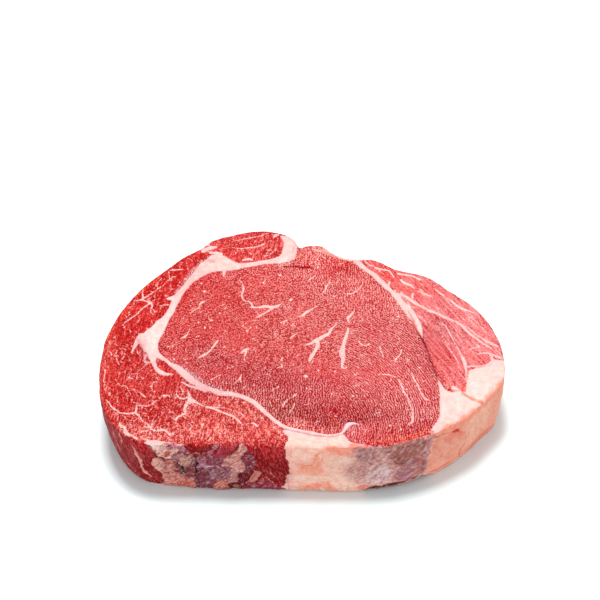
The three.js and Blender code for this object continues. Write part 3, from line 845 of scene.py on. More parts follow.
plan = skin[:, :2].copy()
height = skin[:, 2].copy()
along = np.interp(np.arctan2(plan[:, 1], plan[:, 0]) % (2 * math.pi), sweep % (2 * math.pi), edge_length,
                  period=2 * math.pi)
along[:wall_count] = np.tile(columns, row_count)
triangle_count = sum(len(face) - 2 for face in faces)
print(len(skin), "points and", triangle_count, "triangles")

# %% [markdown]
# ## Which tissue lies where on the cut faces
#
# For each point of the skin two distances are worked out: to the nearest seam or lobe of thick fat, and
# to the nearest vein or fleck. Below zero means inside the fat. The seams run through the whole slice,
# but not quite straight down, so towards the lower face the map drifts a little to one side.

# %% Which tissue lies where on the cut faces
VEIN_REACH = 2.4
FLECK_SHRINKS = 0.06
VEINS_SHRINK = [(EYE_VEINS, 0.06), (CAP_VEINS, 0.14), (FAR_MUSCLE_VEINS, 0.16), (TAIL_VEINS, 0.1)]
DRIFT = np.array([1.6, -1.1])
WANDER = 2.2  # mm that the map strays on its way down
WANDER_LUMPS = 14
WOBBLE = 0.22  # mm that every edge of fat strays
WOBBLE_LUMPS = 2.6
OUTLINE_STEP = 1.5

depth_share = 1 - height / THICKNESS
at_rim = plan.copy()
rim_radius = np.tile(grid_radius[-column_count:], row_count)
at_rim[:wall_count] *= (rim_radius / grid_radius)[:, None]
seen_at = at_rim + depth_share[:, None] * (DRIFT + WANDER * lump_pair(at_rim, WANDER_LUMPS, 1))
wobble = WOBBLE * lump_pair(seen_at, WOBBLE_LUMPS, 3)


def to_strokes(points, strokes, reach):
    """Distance in mm to the nearest of many strokes, looked for only within reach of each."""
    found = np.full(len(points), FAR_AWAY)
    for line in strokes:
        curve = rounded(line)
        low = curve[:, :2].min(axis=0) - reach
        high = curve[:, :2].max(axis=0) + reach
        near = np.flatnonzero(np.all((points > low) & (points < high), axis=1))
        found[near] = np.minimum(found[near], stroke_distance(points[near], curve))
    return found


def to_outlines(points, outlines):
    """Distance in mm to the nearest of some closed outlines, below zero inside."""
    return np.min([outline_distance(points, rounded(o, OUTLINE_STEP, closed=True)) for o in outlines], axis=0)


to_seam = to_strokes(seen_at + wobble, SEAMS.values(), FAR_AWAY)
to_lobe = to_outlines(seen_at + wobble, LOBES.values())
to_fat = np.minimum(to_seam, to_lobe)
to_vein = np.full(len(skin), FAR_AWAY)
for veins, shrinks in VEINS_SHRINK:
    to_vein = np.minimum(to_vein, to_strokes(seen_at + wobble, veins, VEIN_REACH) + shrinks)
for x, y, radius in EYE_SPOTS:
    to_vein = np.minimum(to_vein, np.hypot(*(seen_at - (x, y)).T) - radius)
on_lower = np.arange(len(skin)) >= lower_start
to_fleck = np.full(len(skin), FAR_AWAY)
to_fleck[~on_lower] = to_strokes(seen_at[~on_lower], upper_flecks, VEIN_REACH)
to_fleck[on_lower] = to_strokes(seen_at[on_lower], lower_flecks, VEIN_REACH)
to_vein = np.minimum(to_vein, to_fleck + FLECK_SHRINKS)
print("thick fat covers", round(float(np.mean(to_fat[upper_start:lower_start] < 0)) * 100), "% of the points")

# %% [markdown]
# ## The colours of the lean
#
# Fresh lean is a bright cherry red, but never one red. Each muscle has its own tone, and within it the
# colour drifts, paler where the surface is dry and deeper where the fibres lie open. Each tint below is a
# soft spot with a middle, a reach along each axis and a strength.

# %% The colours of the lean
GRAIN_PALES = (0.96, 0.7, 0.68)  # the grain lightens the lean, so it starts from deeper colours
FULL_LIGHT = 1.14  # the cut face lies in full light, so the lean is mixed this much deeper
MUSCLE_COLOURS = {
    "eye": (223, 98, 98),
    "cap": (216, 58, 55),
    "far muscle": (229, 92, 90),
    "tail": (241, 158, 160),
}
MUSCLE_SOFT = 0.8
TINTS_STRAY = 3
TINT_LUMPS = 9
TINTS = [
    ("deep red at the near side of the eye", (2, -41), (34, 11), (199, 64, 72), 0.8),
    ("paler above it", (5, -31), (15, 6.5), (224, 112, 114), 0.75),
    ("crimson over the short grain", (9, -47.5), (14, 4.5), (188, 40, 50), 0.8),
    ("crimson by the curl", (26, -50), (12, 5), (176, 22, 32), 0.95),
    ("mauve left of the middle", (-36, -17), (19, 11), (204, 94, 99), 0.8),
    ("paler beside the mauve", (-16, -12), (9, 7), (222, 112, 110), 0.7),
    ("paler right of the comb", (33, -19), (8, 9), (222, 122, 124), 0.6),
    ("mauve by the seam", (-16, -33), (15, 9), (190, 70, 80), 0.8),
    ("paler right part", (37, -8), (18, 28), (227, 116, 118), 0.75),
    ("paler far right", (18, 36), (21, 12), (244, 150, 148), 0.9),
    ("pale far eye", (7, 43), (7, 5), (244, 146, 144), 0.7),
    ("paler top of the eye", (-4, 34), (18, 10), (232, 118, 117), 0.7),
    ("pink short grain", (-4, -53.6), (9, 3), (226, 120, 126), 0.95),
    ("red of the short grain", (14, -54), (9, 3.4), (206, 70, 78), 0.8),
    ("soft red of the left side", (-42, 18), (16, 13), (216, 84, 84), 0.7),
    ("paler middle", (7, 4), (15, 15), (226, 134, 131), 0.75),
    ("pink lower right", (50, -43), (11, 12), (234, 132, 135), 0.75),
    ("curl of pink tissue", (24.5, -58.4), (4.4, 4.4), (232, 142, 150), 1.0),
    ("pink beside the curl", (38, -57), (7, 3), (230, 116, 120), 0.7),
    ("red patch by the cleft", (19, 44), (7, 4), (214, 62, 66), 0.85),
    ("pink at the far rim", (6, 51), (6, 5), (246, 146, 142), 0.8),
    ("smooth red left of the middle", (-25, 0), (11, 9), (222, 110, 108), 0.75),
    ("pale fibres by the seam", (43, 17), (5, 12), (238, 144, 142), 0.75),
    ("grey pink of the tail", (65.4, -3), (5.5, 9), (180, 122, 128), 0.95),
    ("pale far strip of the tail", (80, 13), (8, 6), (236, 148, 150), 0.5),
    ("red patch", (16.5, 31), (3, 3), (214, 80, 82), 0.6),
    ("deep band", (-8, -45), (7, 3.8), (166, 12, 28), 0.95),
    ("deep patch", (14, -52), (8, 2.6), (174, 30, 40), 0.9),
    ("deep patch right", (24, -47), (7, 4), (204, 54, 64), 0.7),
    ("red along the near rim", (45, -61.5), (14, 3.2), (212, 66, 68), 0.9),
    ("red corner", (54, -56.5), (5, 4), (204, 62, 70), 0.8),
    ("red right of the curl", (32, -51), (6, 3.4), (194, 54, 62), 0.7),
    ("deep edge at the slit", (59, -16), (3.5, 12), (206, 84, 92), 0.7),
    ("bright red left rim", (-91, -18), (4.4, 26), (229, 106, 95), 0.9),
    ("crimson by the spur", (-79, -10), (5, 9), (192, 30, 36), 0.7),
    ("pale smear of the near rim", (-70, -59), (12, 3.8), (228, 136, 128), 0.75),
    ("bright red far rim", (-72, 33), (13, 9), (222, 56, 50), 0.8),
    ("deep red by the seam", (-60, 33), (5, 9), (206, 46, 46), 0.7),
    ("deep red beside the ring", (-78, -14), (7, 14), (214, 70, 66), 0.5),
    ("paler cap by the ring", (-71, -29), (7, 7), (224, 100, 96), 0.75),
    ("orange red near rim", (-37, -59.5), (27, 5), (246, 150, 141), 0.95),
    ("pink near the seam", (-33, -45), (17, 6), (248, 152, 142), 0.75),
    ("pale cap by the near seam", (-12, -57.4), (6, 3.4), (248, 158, 146), 0.7),
    ("red muscle of the tail", (67, -15), (6.4, 12), (228, 112, 114), 0.8),
    ("pink of the tail", (76, 10), (14, 12), (242, 158, 160), 0.6),
    ("red top of the tail", (40, 40), (8, 5), (228, 92, 88), 0.9),
    ("red in the tail", (57, 27), (9, 4), (232, 112, 110), 0.8),
    ("red tip", (83, -15.5), (5, 3), (234, 118, 120), 0.6),
    ("pale corner of the tail", (63, -28), (4, 4), (240, 152, 148), 0.8),
]


def colour(values):
    """A colour given from 0 to 255, as paint programs give it, in Blender's linear numbers."""
    share = np.array(values) / 255
    return np.where(share <= 0.04045, share / 12.92, ((share + 0.055) / 1.055) ** 2.4)


def glaze(base, tint, share, points=slice(None)):
    """Pull the base colour of the points towards a tint, each by its share."""
    base[points] += share[:, None] * (colour(tint) - base[points])


def lay_tints(base, tints, place):
    """Lay soft spots of colour over a base, each strongest at its middle."""
    for name, middle, reach, tint, strength in tints:
        away = np.hypot(*((place - middle) / reach).T)
        glaze(base, tint, strength * np.exp(-0.5 * away**2))


lean = np.tile(colour(MUSCLE_COLOURS["eye"]), (len(skin), 1))
in_muscle = {}
for name, outline in MUSCLES.items():
    to_muscle = outline_distance(seen_at, np.array(outline, float))
    in_muscle[name] = ease(-to_muscle, -MUSCLE_SOFT, MUSCLE_SOFT)
    glaze(lean, MUSCLE_COLOURS[name], in_muscle[name])
lay_tints(lean, TINTS, seen_at + TINTS_STRAY * lump_pair(seen_at, TINT_LUMPS, 5))
lean *= np.array(GRAIN_PALES) / FULL_LIGHT
print("mean lean colour, linear:", lean[upper_start:lower_start].mean(axis=0).round(3))

# %% [markdown]
# ## The colours of the fat
#
# The two lobes are the whitest. Seams are creamier, and beside the cap they turn faintly mauve where the
# silverskin lies on them. The fat along the near edge is warm, with a little blood in it.

# %% The colours of the fat
FACE_LIGHT = 1.4  # how much the light brightens a colour on the cut face
FULL_LIGHT_BETWEEN = (33.7, 34.35)  # mm up, where the light of the wall gives way to that of the face
SEAM_COLOUR = (249, 208, 203)
FAT_TINTS = [
    ("white lobes", (78, -34), (18, 17), (253, 227, 218), 1.0),
    ("warm near edge", (4, -63), (18, 3.6), (252, 222, 209), 1.0),
    ("start of the seam", (-41, 43.4), (3.4, 2.4), (250, 216, 208), 0.9),
    ("pink upper seam", (-55.6, 31.6), (4, 6), (249, 214, 209), 0.8),
    ("paler below it", (-63, 12), (3, 8), (250, 219, 216), 0.9),
    ("white of the seam", (-70, -4), (4, 6), (251, 231, 225), 1.0),
    ("mauve fringe", (-75, -9), (2.4, 6), (236, 176, 176), 0.8),
    ("rosy lower seam", (-44, -31.8), (11, 4), (236, 182, 184), 0.9),
    ("white end of the lower seam", (-59, -19.6), (4, 3), (249, 202, 202), 0.9),
    ("lilac along the near side", (4, -56.8), (16, 1.3), (251, 222, 230), 0.95),
    ("lilac curl", (22, -54), (4, 3), (252, 222, 230), 1.0),
    ("pale far seam", (-7, 50), (3, 4), (253, 222, 214), 0.8),
    ("pale middle of the right seam", (48, 18), (5, 9), (253, 216, 210), 0.85),
    ("pale far rim", (14, 52), (9, 3.4), (228, 132, 118), 0.95),
    ("pale seams of the tail", (72, 4), (18, 17), (250, 208, 204), 0.9),
    ("foot of the right seam", (54, 3), (4, 6), (253, 218, 218), 0.9),
    ("warm cap fat", (-58, 40), (10, 8), (246, 178, 170), 0.5),
]
fat = np.tile(colour(SEAM_COLOUR), (len(skin), 1))
lay_tints(fat, FAT_TINTS, seen_at)
on_wall = np.arange(len(skin)) < wall_count
up_light = np.where(on_wall, ease(height, *FULL_LIGHT_BETWEEN), 1)
fat /= (1 + (FACE_LIGHT - 1) * up_light)[:, None]
print(len(TINTS), "tints in the lean,", len(FAT_TINTS), "in the fat")

# %% [markdown]
# ## Laying on the stains
#
# A stain is a thin glaze: it pulls both colours towards its own, most of all along its middle.

# %% Lay on the stains
STROKE_REACH = 3
STAIN_FADES = (-0.35, 0.3)
DEEP_GREEN = 0.05  # lean with less green than this counts as deep red

for name, tint, strength, line in STAINS:
    share = strength * ease(-to_strokes(seen_at + wobble, [line], STROKE_REACH), *STAIN_FADES)
    glaze(lean, tint, share)
    glaze(fat, tint, share)
print("redder than plain lean:", round(float(np.mean(lean[:, 1] < DEEP_GREEN)) * 100), "% of the points")

# %% [markdown]
# ## Opening the slits
#
# Each slit sinks the skin and is painted a very deep crimson, since hardly any light comes back out of
# it. The slits fade out down the wall.

# %% Open the slits
DARK_WITHIN = (-0.12, 0.1)
SUNK_WITHIN = (-0.35, 0.15)
SLIT_HEIGHTS = (30, 34)

gap = np.zeros(len(skin))
sunk = np.zeros(len(skin))
for name, depth, darkness, line in SLITS:
    away = to_strokes(seen_at, [line], STROKE_REACH)
    gap = np.maximum(gap, darkness * ease(-away, *DARK_WITHIN))
    sunk = np.maximum(sunk, depth * ease(-away, *SUNK_WITHIN))
gap *= ease(height, *SLIT_HEIGHTS)
sunk *= ease(height, *SLIT_HEIGHTS)
print("open slits on", int(np.sum(gap > 0.5)), "points")

# %% [markdown]
# ## The wall of the slice
#
# The wall isn't cut across the fibres: it is the outside of the roast, so it shows lean along its fibres,
# lumps of fat, and silverskin, the thin grey-mauve sheet that wraps a muscle. It is painted as patches on
# the unrolled wall, in mm along the edge and mm up, from the widest to the smallest. Each patch has a
# tissue, a colour, how far it stands out or lies back, and how soft its edge is.

# %% Patches of the wall
WALL_LEAN = (161, 42, 46)
PATCHES = [
    ("fat below the eye", "fat", (237, 181, 166), 0.3, 0.28, [
        (112.6, 37), (114.4, 31), (115, 26), (116.6, 19), (115.2, 14), (115.4, 10), (113.6, 6), (113.8, -2),
        (150, -4), (184, -4), (184, 38), (150, 38)]),
    ("grey fat", "fat", (232, 192, 176), 0.1, 3, [
        (133, 25), (134, 8), (142, 4), (150, 12), (149, 26), (141, 28)]),
    ("silverskin below the eye", "film", (198, 148, 144), 0.0, 4, [
        (144, 38), (141.4, 31), (145, 25), (140.6, 19), (143, 12), (148, 7), (151, -2), (179, -2), (180, 10),
        (181, 38)]),
    ("brown silverskin", "film", (160, 104, 98), 0.0, 1.8, [
        (161.4, 25), (163, 20.6), (167, 19.8), (172, 21.6), (177, 23), (178.6, 28), (179, 34), (168, 34.6),
        (158, 33.6), (157.6, 29)]),
    ("fat of the near corner", "fat", (226, 155, 135), 0.2, 0.5, [
        (180.6, 38), (180, 26), (179.6, 15), (180.6, 6), (182, -2), (240, -2), (241, 12), (237, 26),
        (231, 38)]),
    ("fat cover of the far edge", "fat", (238, 192, 176), 0.2, 0.9, [
        (316, 38), (318, 27), (315, 16), (320, 8), (318, -2), (372, -2), (370, 12), (373, 38)]),
    ("fat by the cap", "fat", (238, 190, 174), 0.2, 0.5, [
        (418, 38), (420, 22), (416, 10), (419, -2), (431, -2), (429, 14), (433, 26), (430, 38)]),
    ("fat edge of the tail", "fat", (240, 188, 174), 0.2, 0.9, [
        (236, 34), (239, 20), (241, -2), (256, -2), (252, 10), (255, 20), (264, 26), (282, 28.6), (264, 30.4),
        (248, 31)]),
    ("silverskin of the tail", "film", (180, 96, 98), 0.1, 4, [
        (262, 26), (258, 8), (262, -2), (300, -2), (308, 12), (306, 28), (286, 30)]),
    ("silverskin of the far muscle", "film", (164, 80, 84), 0.0, 4, [
        (378, 30), (382, 10), (396, 4), (411, 8), (412, 24), (398, 32)]),
    ("silverskin of the cap", "film", (160, 66, 70), 0.0, 4.6, [
        (436, 30), (438, 8), (456, 2), (484, 6), (498, 16), (490, 28), (462, 32)]),
    ("fat under the cap", "fat", (226, 172, 160), 0.3, 0.4, [
        (444, 6), (452, 9), (464, 7), (476, 4), (478, -2), (442, -2)]),
    # membranes and lumps of fat below the rib cap
    ("torn tissue", "film", (150, 82, 86), -0.5, 1, [
        (52, 33), (57, 27), (55, 18), (58, 10), (57, -2), (96, -2), (97, 10), (99, 22), (97, 36), (90, 38),
        (76, 38), (62, 37)]),
    ("cream strip", "fat", (240, 194, 182), 0.7, 0.2, [
        (49.4, 38), (51.6, 34.4), (54.6, 31), (57.4, 27.4), (59.6, 24.4), (61.6, 22.8), (63.4, 24.4),
        (64.4, 27), (66.6, 31), (64.6, 31.6), (61.6, 30.2), (60.4, 33), (58.8, 38)]),
    ("cream patch", "fat", (214, 142, 130), 0.6, 0.2, [
        (53.8, 20), (54.4, 23), (57.2, 24), (59.8, 23.4), (62, 21), (64, 19), (65.2, 15.6), (65.8, 12.6),
        (66.8, 10), (69, 8.6), (71.2, 8.2), (72, 5), (71.4, -1), (56, -1), (55.8, 3), (57, 8), (56.8, 11),
        (55.4, 15), (54.2, 18)]),
    ("pale part of the cream", "fat", (222, 166, 154), 0.7, 0.5, [
        (54.6, 18), (55, 23), (59, 23), (60, 16), (57, 12)]),
    ("cream island", "fat", (206, 158, 144), 0.6, 0.2, [
        (65.8, 27), (68.2, 27.2), (70, 25), (71.6, 26.4), (72, 22), (70.8, 18), (68.4, 17), (66.6, 19.6)]),
    ("upper silverskin", "film", (186, 122, 138), 0.2, 0.28, [
        (60.6, 30.6), (63.4, 30.4), (66, 31.6), (68, 28.6), (70, 29.4), (69.6, 33), (67.6, 36), (61.2, 36)]),
    ("lower silverskin", "film", (176, 128, 138), 0.1, 0.28, [
        (62.8, 22.8), (64.8, 26.4), (66.6, 24), (66.4, 20.4), (64.4, 20.6)]),
    ("orange lump", "fat", (222, 104, 80), 0.5, 0.28, [(60.4, 25.8), (60.8, 28.6), (63, 29), (63.2, 26.4)]),
    ("orange at the crack", "fat", (202, 104, 82), 0.2, 0.4, [
        (61.8, 20.4), (62.6, 23), (64.4, 21.4), (65, 19)]),
    ("brown hollow", "film", (150, 80, 84), -0.8, 0.28, [
        (66.8, 9.6), (67.4, 14), (69, 17.4), (72, 18), (72, 9.6)]),
    ("orange fat at the foot", "fat", (212, 120, 102), 0.3, 0.5, [
        (62, -1), (63, 3.6), (68, 6.4), (71.6, 4), (71.6, -1)]),
    ("red muscle above", "lean", (160, 40, 42), -0.3, 0.22, [
        (69.4, 38), (69.6, 33), (70.2, 28), (72, 26.4), (76, 26.2), (78.6, 28.6), (81, 31.6), (83, 35),
        (83.6, 38)]),
    ("bright red rim", "lean", (204, 38, 38), 0.0, 0.4, [
        (69.4, 38), (69.6, 34), (73, 31.8), (76, 32.6), (80, 32.6), (82.6, 35), (83.4, 38)]),
    ("mauve hollow", "film", (138, 74, 84), 0.0, 0.35, [
        (73, -1), (72.6, 6), (73.6, 12), (74.4, 17.6), (78, 18.6), (80.4, 14), (80, 8), (80.6, 3),
        (80.4, -1)]),
    ("strands", "film", (168, 94, 104), 0.3, 0.22, [
        (73.2, 20.6), (76, 20), (81, 23.6), (84.6, 29), (88, 35), (85.4, 36.6), (82, 33.6), (79, 29.4),
        (75.6, 25)]),
    ("smooth bulging muscle", "lean", (162, 58, 70), 0.9, 0.22, [
        (81.8, 25.2), (86.4, 25.8), (90, 27.6), (92.2, 30), (92.4, 33), (91.2, 36), (88, 37), (85.6, 33),
        (83.2, 29)]),
    ("grey silverskin", "film", (164, 112, 124), 0.3, 0.4, [
        (79.6, 8.4), (80, 14), (78.6, 18.4), (83, 19.4), (86, 16.4), (90, 15), (90, 9), (87, 7), (83, 7.6)]),
    ("lilac silverskin", "film", (182, 130, 152), 0.3, 0.35, [
        (74, 17), (74.4, 21.6), (76.4, 22), (79.4, 20.4), (78.4, 18.2), (76, 17)]),
    ("mauve silverskin", "film", (152, 86, 104), 0.2, 0.28, [
        (79, 19.6), (80, 24), (84, 25.4), (88, 25.8), (86.4, 22), (88.4, 18.6), (91.4, 16), (88, 14.6),
        (83.6, 16.8)]),
    ("cream column", "fat", (226, 162, 152), 0.7, 0.2, [
        (92, 38), (93, 34.6), (92.6, 31), (91, 28.2), (88.4, 26.4), (87, 24), (85.8, 20.8), (87.6, 19),
        (90.2, 18.4), (91.6, 14.8), (93.4, 14), (95.6, 16), (95.8, 19), (95, 23), (94.6, 26.6), (96.2, 29),
        (96.8, 32), (96, 35), (95.8, 38)]),
    ("cream below the column", "fat", (202, 142, 138), 0.5, 0.22, [
        (90.2, 18), (89.4, 14.6), (89.2, 11), (88, 7.8), (90, 6.8), (92.8, 6.8), (93.2, 9), (92.6, 12),
        (93, 15)]),
    ("pink fat at the foot", "fat", (206, 130, 118), 0.4, 0.22, [
        (80.6, -1), (80.8, 3.4), (82.6, 6.4), (85, 8), (88.4, 7.6), (89.6, 5.6), (88.4, 3), (88.8, -1)]),
    # painted shade: a dark colour for the shade in the hollow at the foot
    ("hollow at the foot", "film", (104, 40, 38), -0.9, 0.22, [
        (88.2, 0.4), (88.4, 4), (91, 5.6), (93.4, 4.8), (92.8, 1.4), (90.6, -0.8)]),
    ("tan bit", "fat", (198, 134, 114), 0.2, 0.22, [(89.8, 2.2), (90.8, 4.4), (92.6, 4), (91.8, 1.8)]),
    ("dark lump", "lean", (140, 52, 62), 0.5, 0.22, [
        (93.2, 7), (93.2, 12.6), (95.2, 15), (97, 14), (97.6, 10.4), (97, 7), (95, 6)]),
    ("purple film", "film", (140, 58, 74), 0.0, 0.5, [
        (95, 28), (95.6, 22), (96.2, 17), (98.6, 15.8), (100.4, 18), (100.6, 24), (99.4, 29), (97, 30)]),
    ("cream wedge", "fat", (188, 122, 116), 0.5, 0.2, [
        (97.2, 7.4), (97.9, 10.4), (99.2, 12.4), (99.8, 15.4), (101.6, 16.8), (103, 15.4), (103, 12.6),
        (101.4, 10.6), (100.4, 7.8), (98.8, 6.4)]),
    ("bright red top", "lean", (188, 26, 34), 0.0, 0.35, [
        (96.6, 38), (97, 30.6), (99.6, 29.6), (100.6, 32), (101, 38)]),
    ("bright red above", "lean", (178, 44, 46), 0.0, 2.4, [
        (101, 38), (102, 31), (105, 25), (109, 23), (112, 28), (113, 38)]),
    ("red beside the strip", "lean", (176, 30, 32), 0.0, 2, [
        (46, 38), (47, 30), (50, 26), (53, 30), (51, 38)]),
    ("purple foot", "film", (148, 54, 70), 0.0, 0.4, [
        (92.4, -1), (93.4, 3.2), (96, 6), (99, 5.8), (101.6, 7.4), (104.4, 9.6), (107, 8), (109.6, 4.6),
        (112.6, 3.4), (113.4, -1)]),
    # tints inside the wide patches
    ("pale fat", "fat", (241, 194, 180), 0.1, 2.2, [(118, 26), (118, 33), (127, 33), (127, 26)]),
    ("grey pale fat", "fat", (232, 198, 184), 0.1, 1.6, [(119, 9), (119, 14), (130, 14), (131, 9)]),
    ("pink edge of the fat", "fat", (226, 176, 168), 0.1, 0.5, [
        (114, -1), (114.6, 8), (115.6, 16), (117.8, 14), (117.4, 4), (117.4, -1)]),
    ("orange in the fat", "fat", (234, 160, 134), 0.0, 1.9, [
        (121, 15.6), (121.4, 23.6), (124.6, 22), (126.6, 25), (128.4, 30), (130.6, 30), (130.2, 21),
        (129.6, 15.4)]),
    ("orange at the foot of the fat", "fat", (228, 152, 134), 0.0, 1.8, [
        (120, -1), (122, 6), (128, 8.6), (133, 8), (138, 4), (139, -1)]),
    ("orange at the rim of the fat", "fat", (236, 152, 132), 0.0, 1.3, [
        (131, 38), (133, 31), (140, 29.6), (144.6, 31), (146, 38)]),
    ("dark mauve silverskin", "film", (168, 122, 122), 0.0, 1.8, [
        (146, 32.4), (146.6, 25.4), (150, 24), (154, 26), (153.6, 32)]),
    ("pale silverskin", "film", (212, 180, 176), 0.3, 1.4, [
        (148, 7), (150.6, 15), (155, 21), (160.4, 20), (161, 7), (154, 5)]),
    ("mauve bulge", "film", (166, 112, 124), 0.9, 0.9, [
        (164.6, 7), (164.2, 13), (166, 18), (169.4, 19.4), (174, 20.4), (176.2, 18.6), (176.4, 12),
        (175.8, 7), (170, 5)]),
    ("rose side of the bulge", "film", (176, 112, 112), 0.9, 1.6, [
        (171, 6), (171.6, 19), (176.6, 18), (176.6, 7)]),
    ("brown beside the bulge", "film", (162, 104, 98), 0.0, 1.4, [
        (175.4, 6), (175.6, 19), (177.6, 21.4), (179, 14), (178.8, 6)]),
    # painted shadow: a dark band for the shade under the lifted foot and the membranes
    ("painted shadow under the foot", "film", (84, 42, 42), -0.9, 0.4, [
        (150.6, 0.6), (151.8, 3), (155, 4.8), (160, 5.2), (164, 4.8), (170, 3.6), (175, 4.4), (176.4, 2.6),
        (168, 1.4), (160, -0.6), (155, -0.8)]),
    ("orange above the painted shadow under the foot", "fat", (216, 132, 112), 0.0, 0.4, [
        (147.6, 3.6), (149, 7), (152, 6.4), (152.6, 4.4), (150, 3)]),
    ("red under the rim", "lean", (206, 84, 82), 0.0, 0.4, [
        (146, 38), (148, 34.4), (160, 33.8), (172, 34), (180, 34.4), (181, 38)]),
    ("narrow mauve band", "film", (190, 136, 140), 0.5, 0.22, [
        (178.6, 38), (178.2, 31), (176.8, 24.6), (176.4, 19.6), (178.4, 17), (180.2, 22), (181, 30),
        (182.2, 38)]),
    ("paler corner fat", "fat", (232, 174, 152), 0.0, 2.2, [(201, 12), (202, 30), (216, 30), (217, 12)]),
    ("orange rim of the corner", "fat", (230, 146, 124), 0.0, 1.2, [
        (184, 38), (186, 31.6), (206, 30.6), (226, 31.4), (226, 38)]),
    ("red foot of the corner", "fat", (222, 132, 112), 0.0, 1.6, [(203, -1), (206, 6), (222, 7), (226, -1)]),
    ("orange beside the spot", "fat", (228, 132, 112), 0.0, 0.8, [
        (188, 25), (191, 29.6), (196, 28.4), (199, 23), (196, 22.6)]),
]
print(len(PATCHES), "patches")
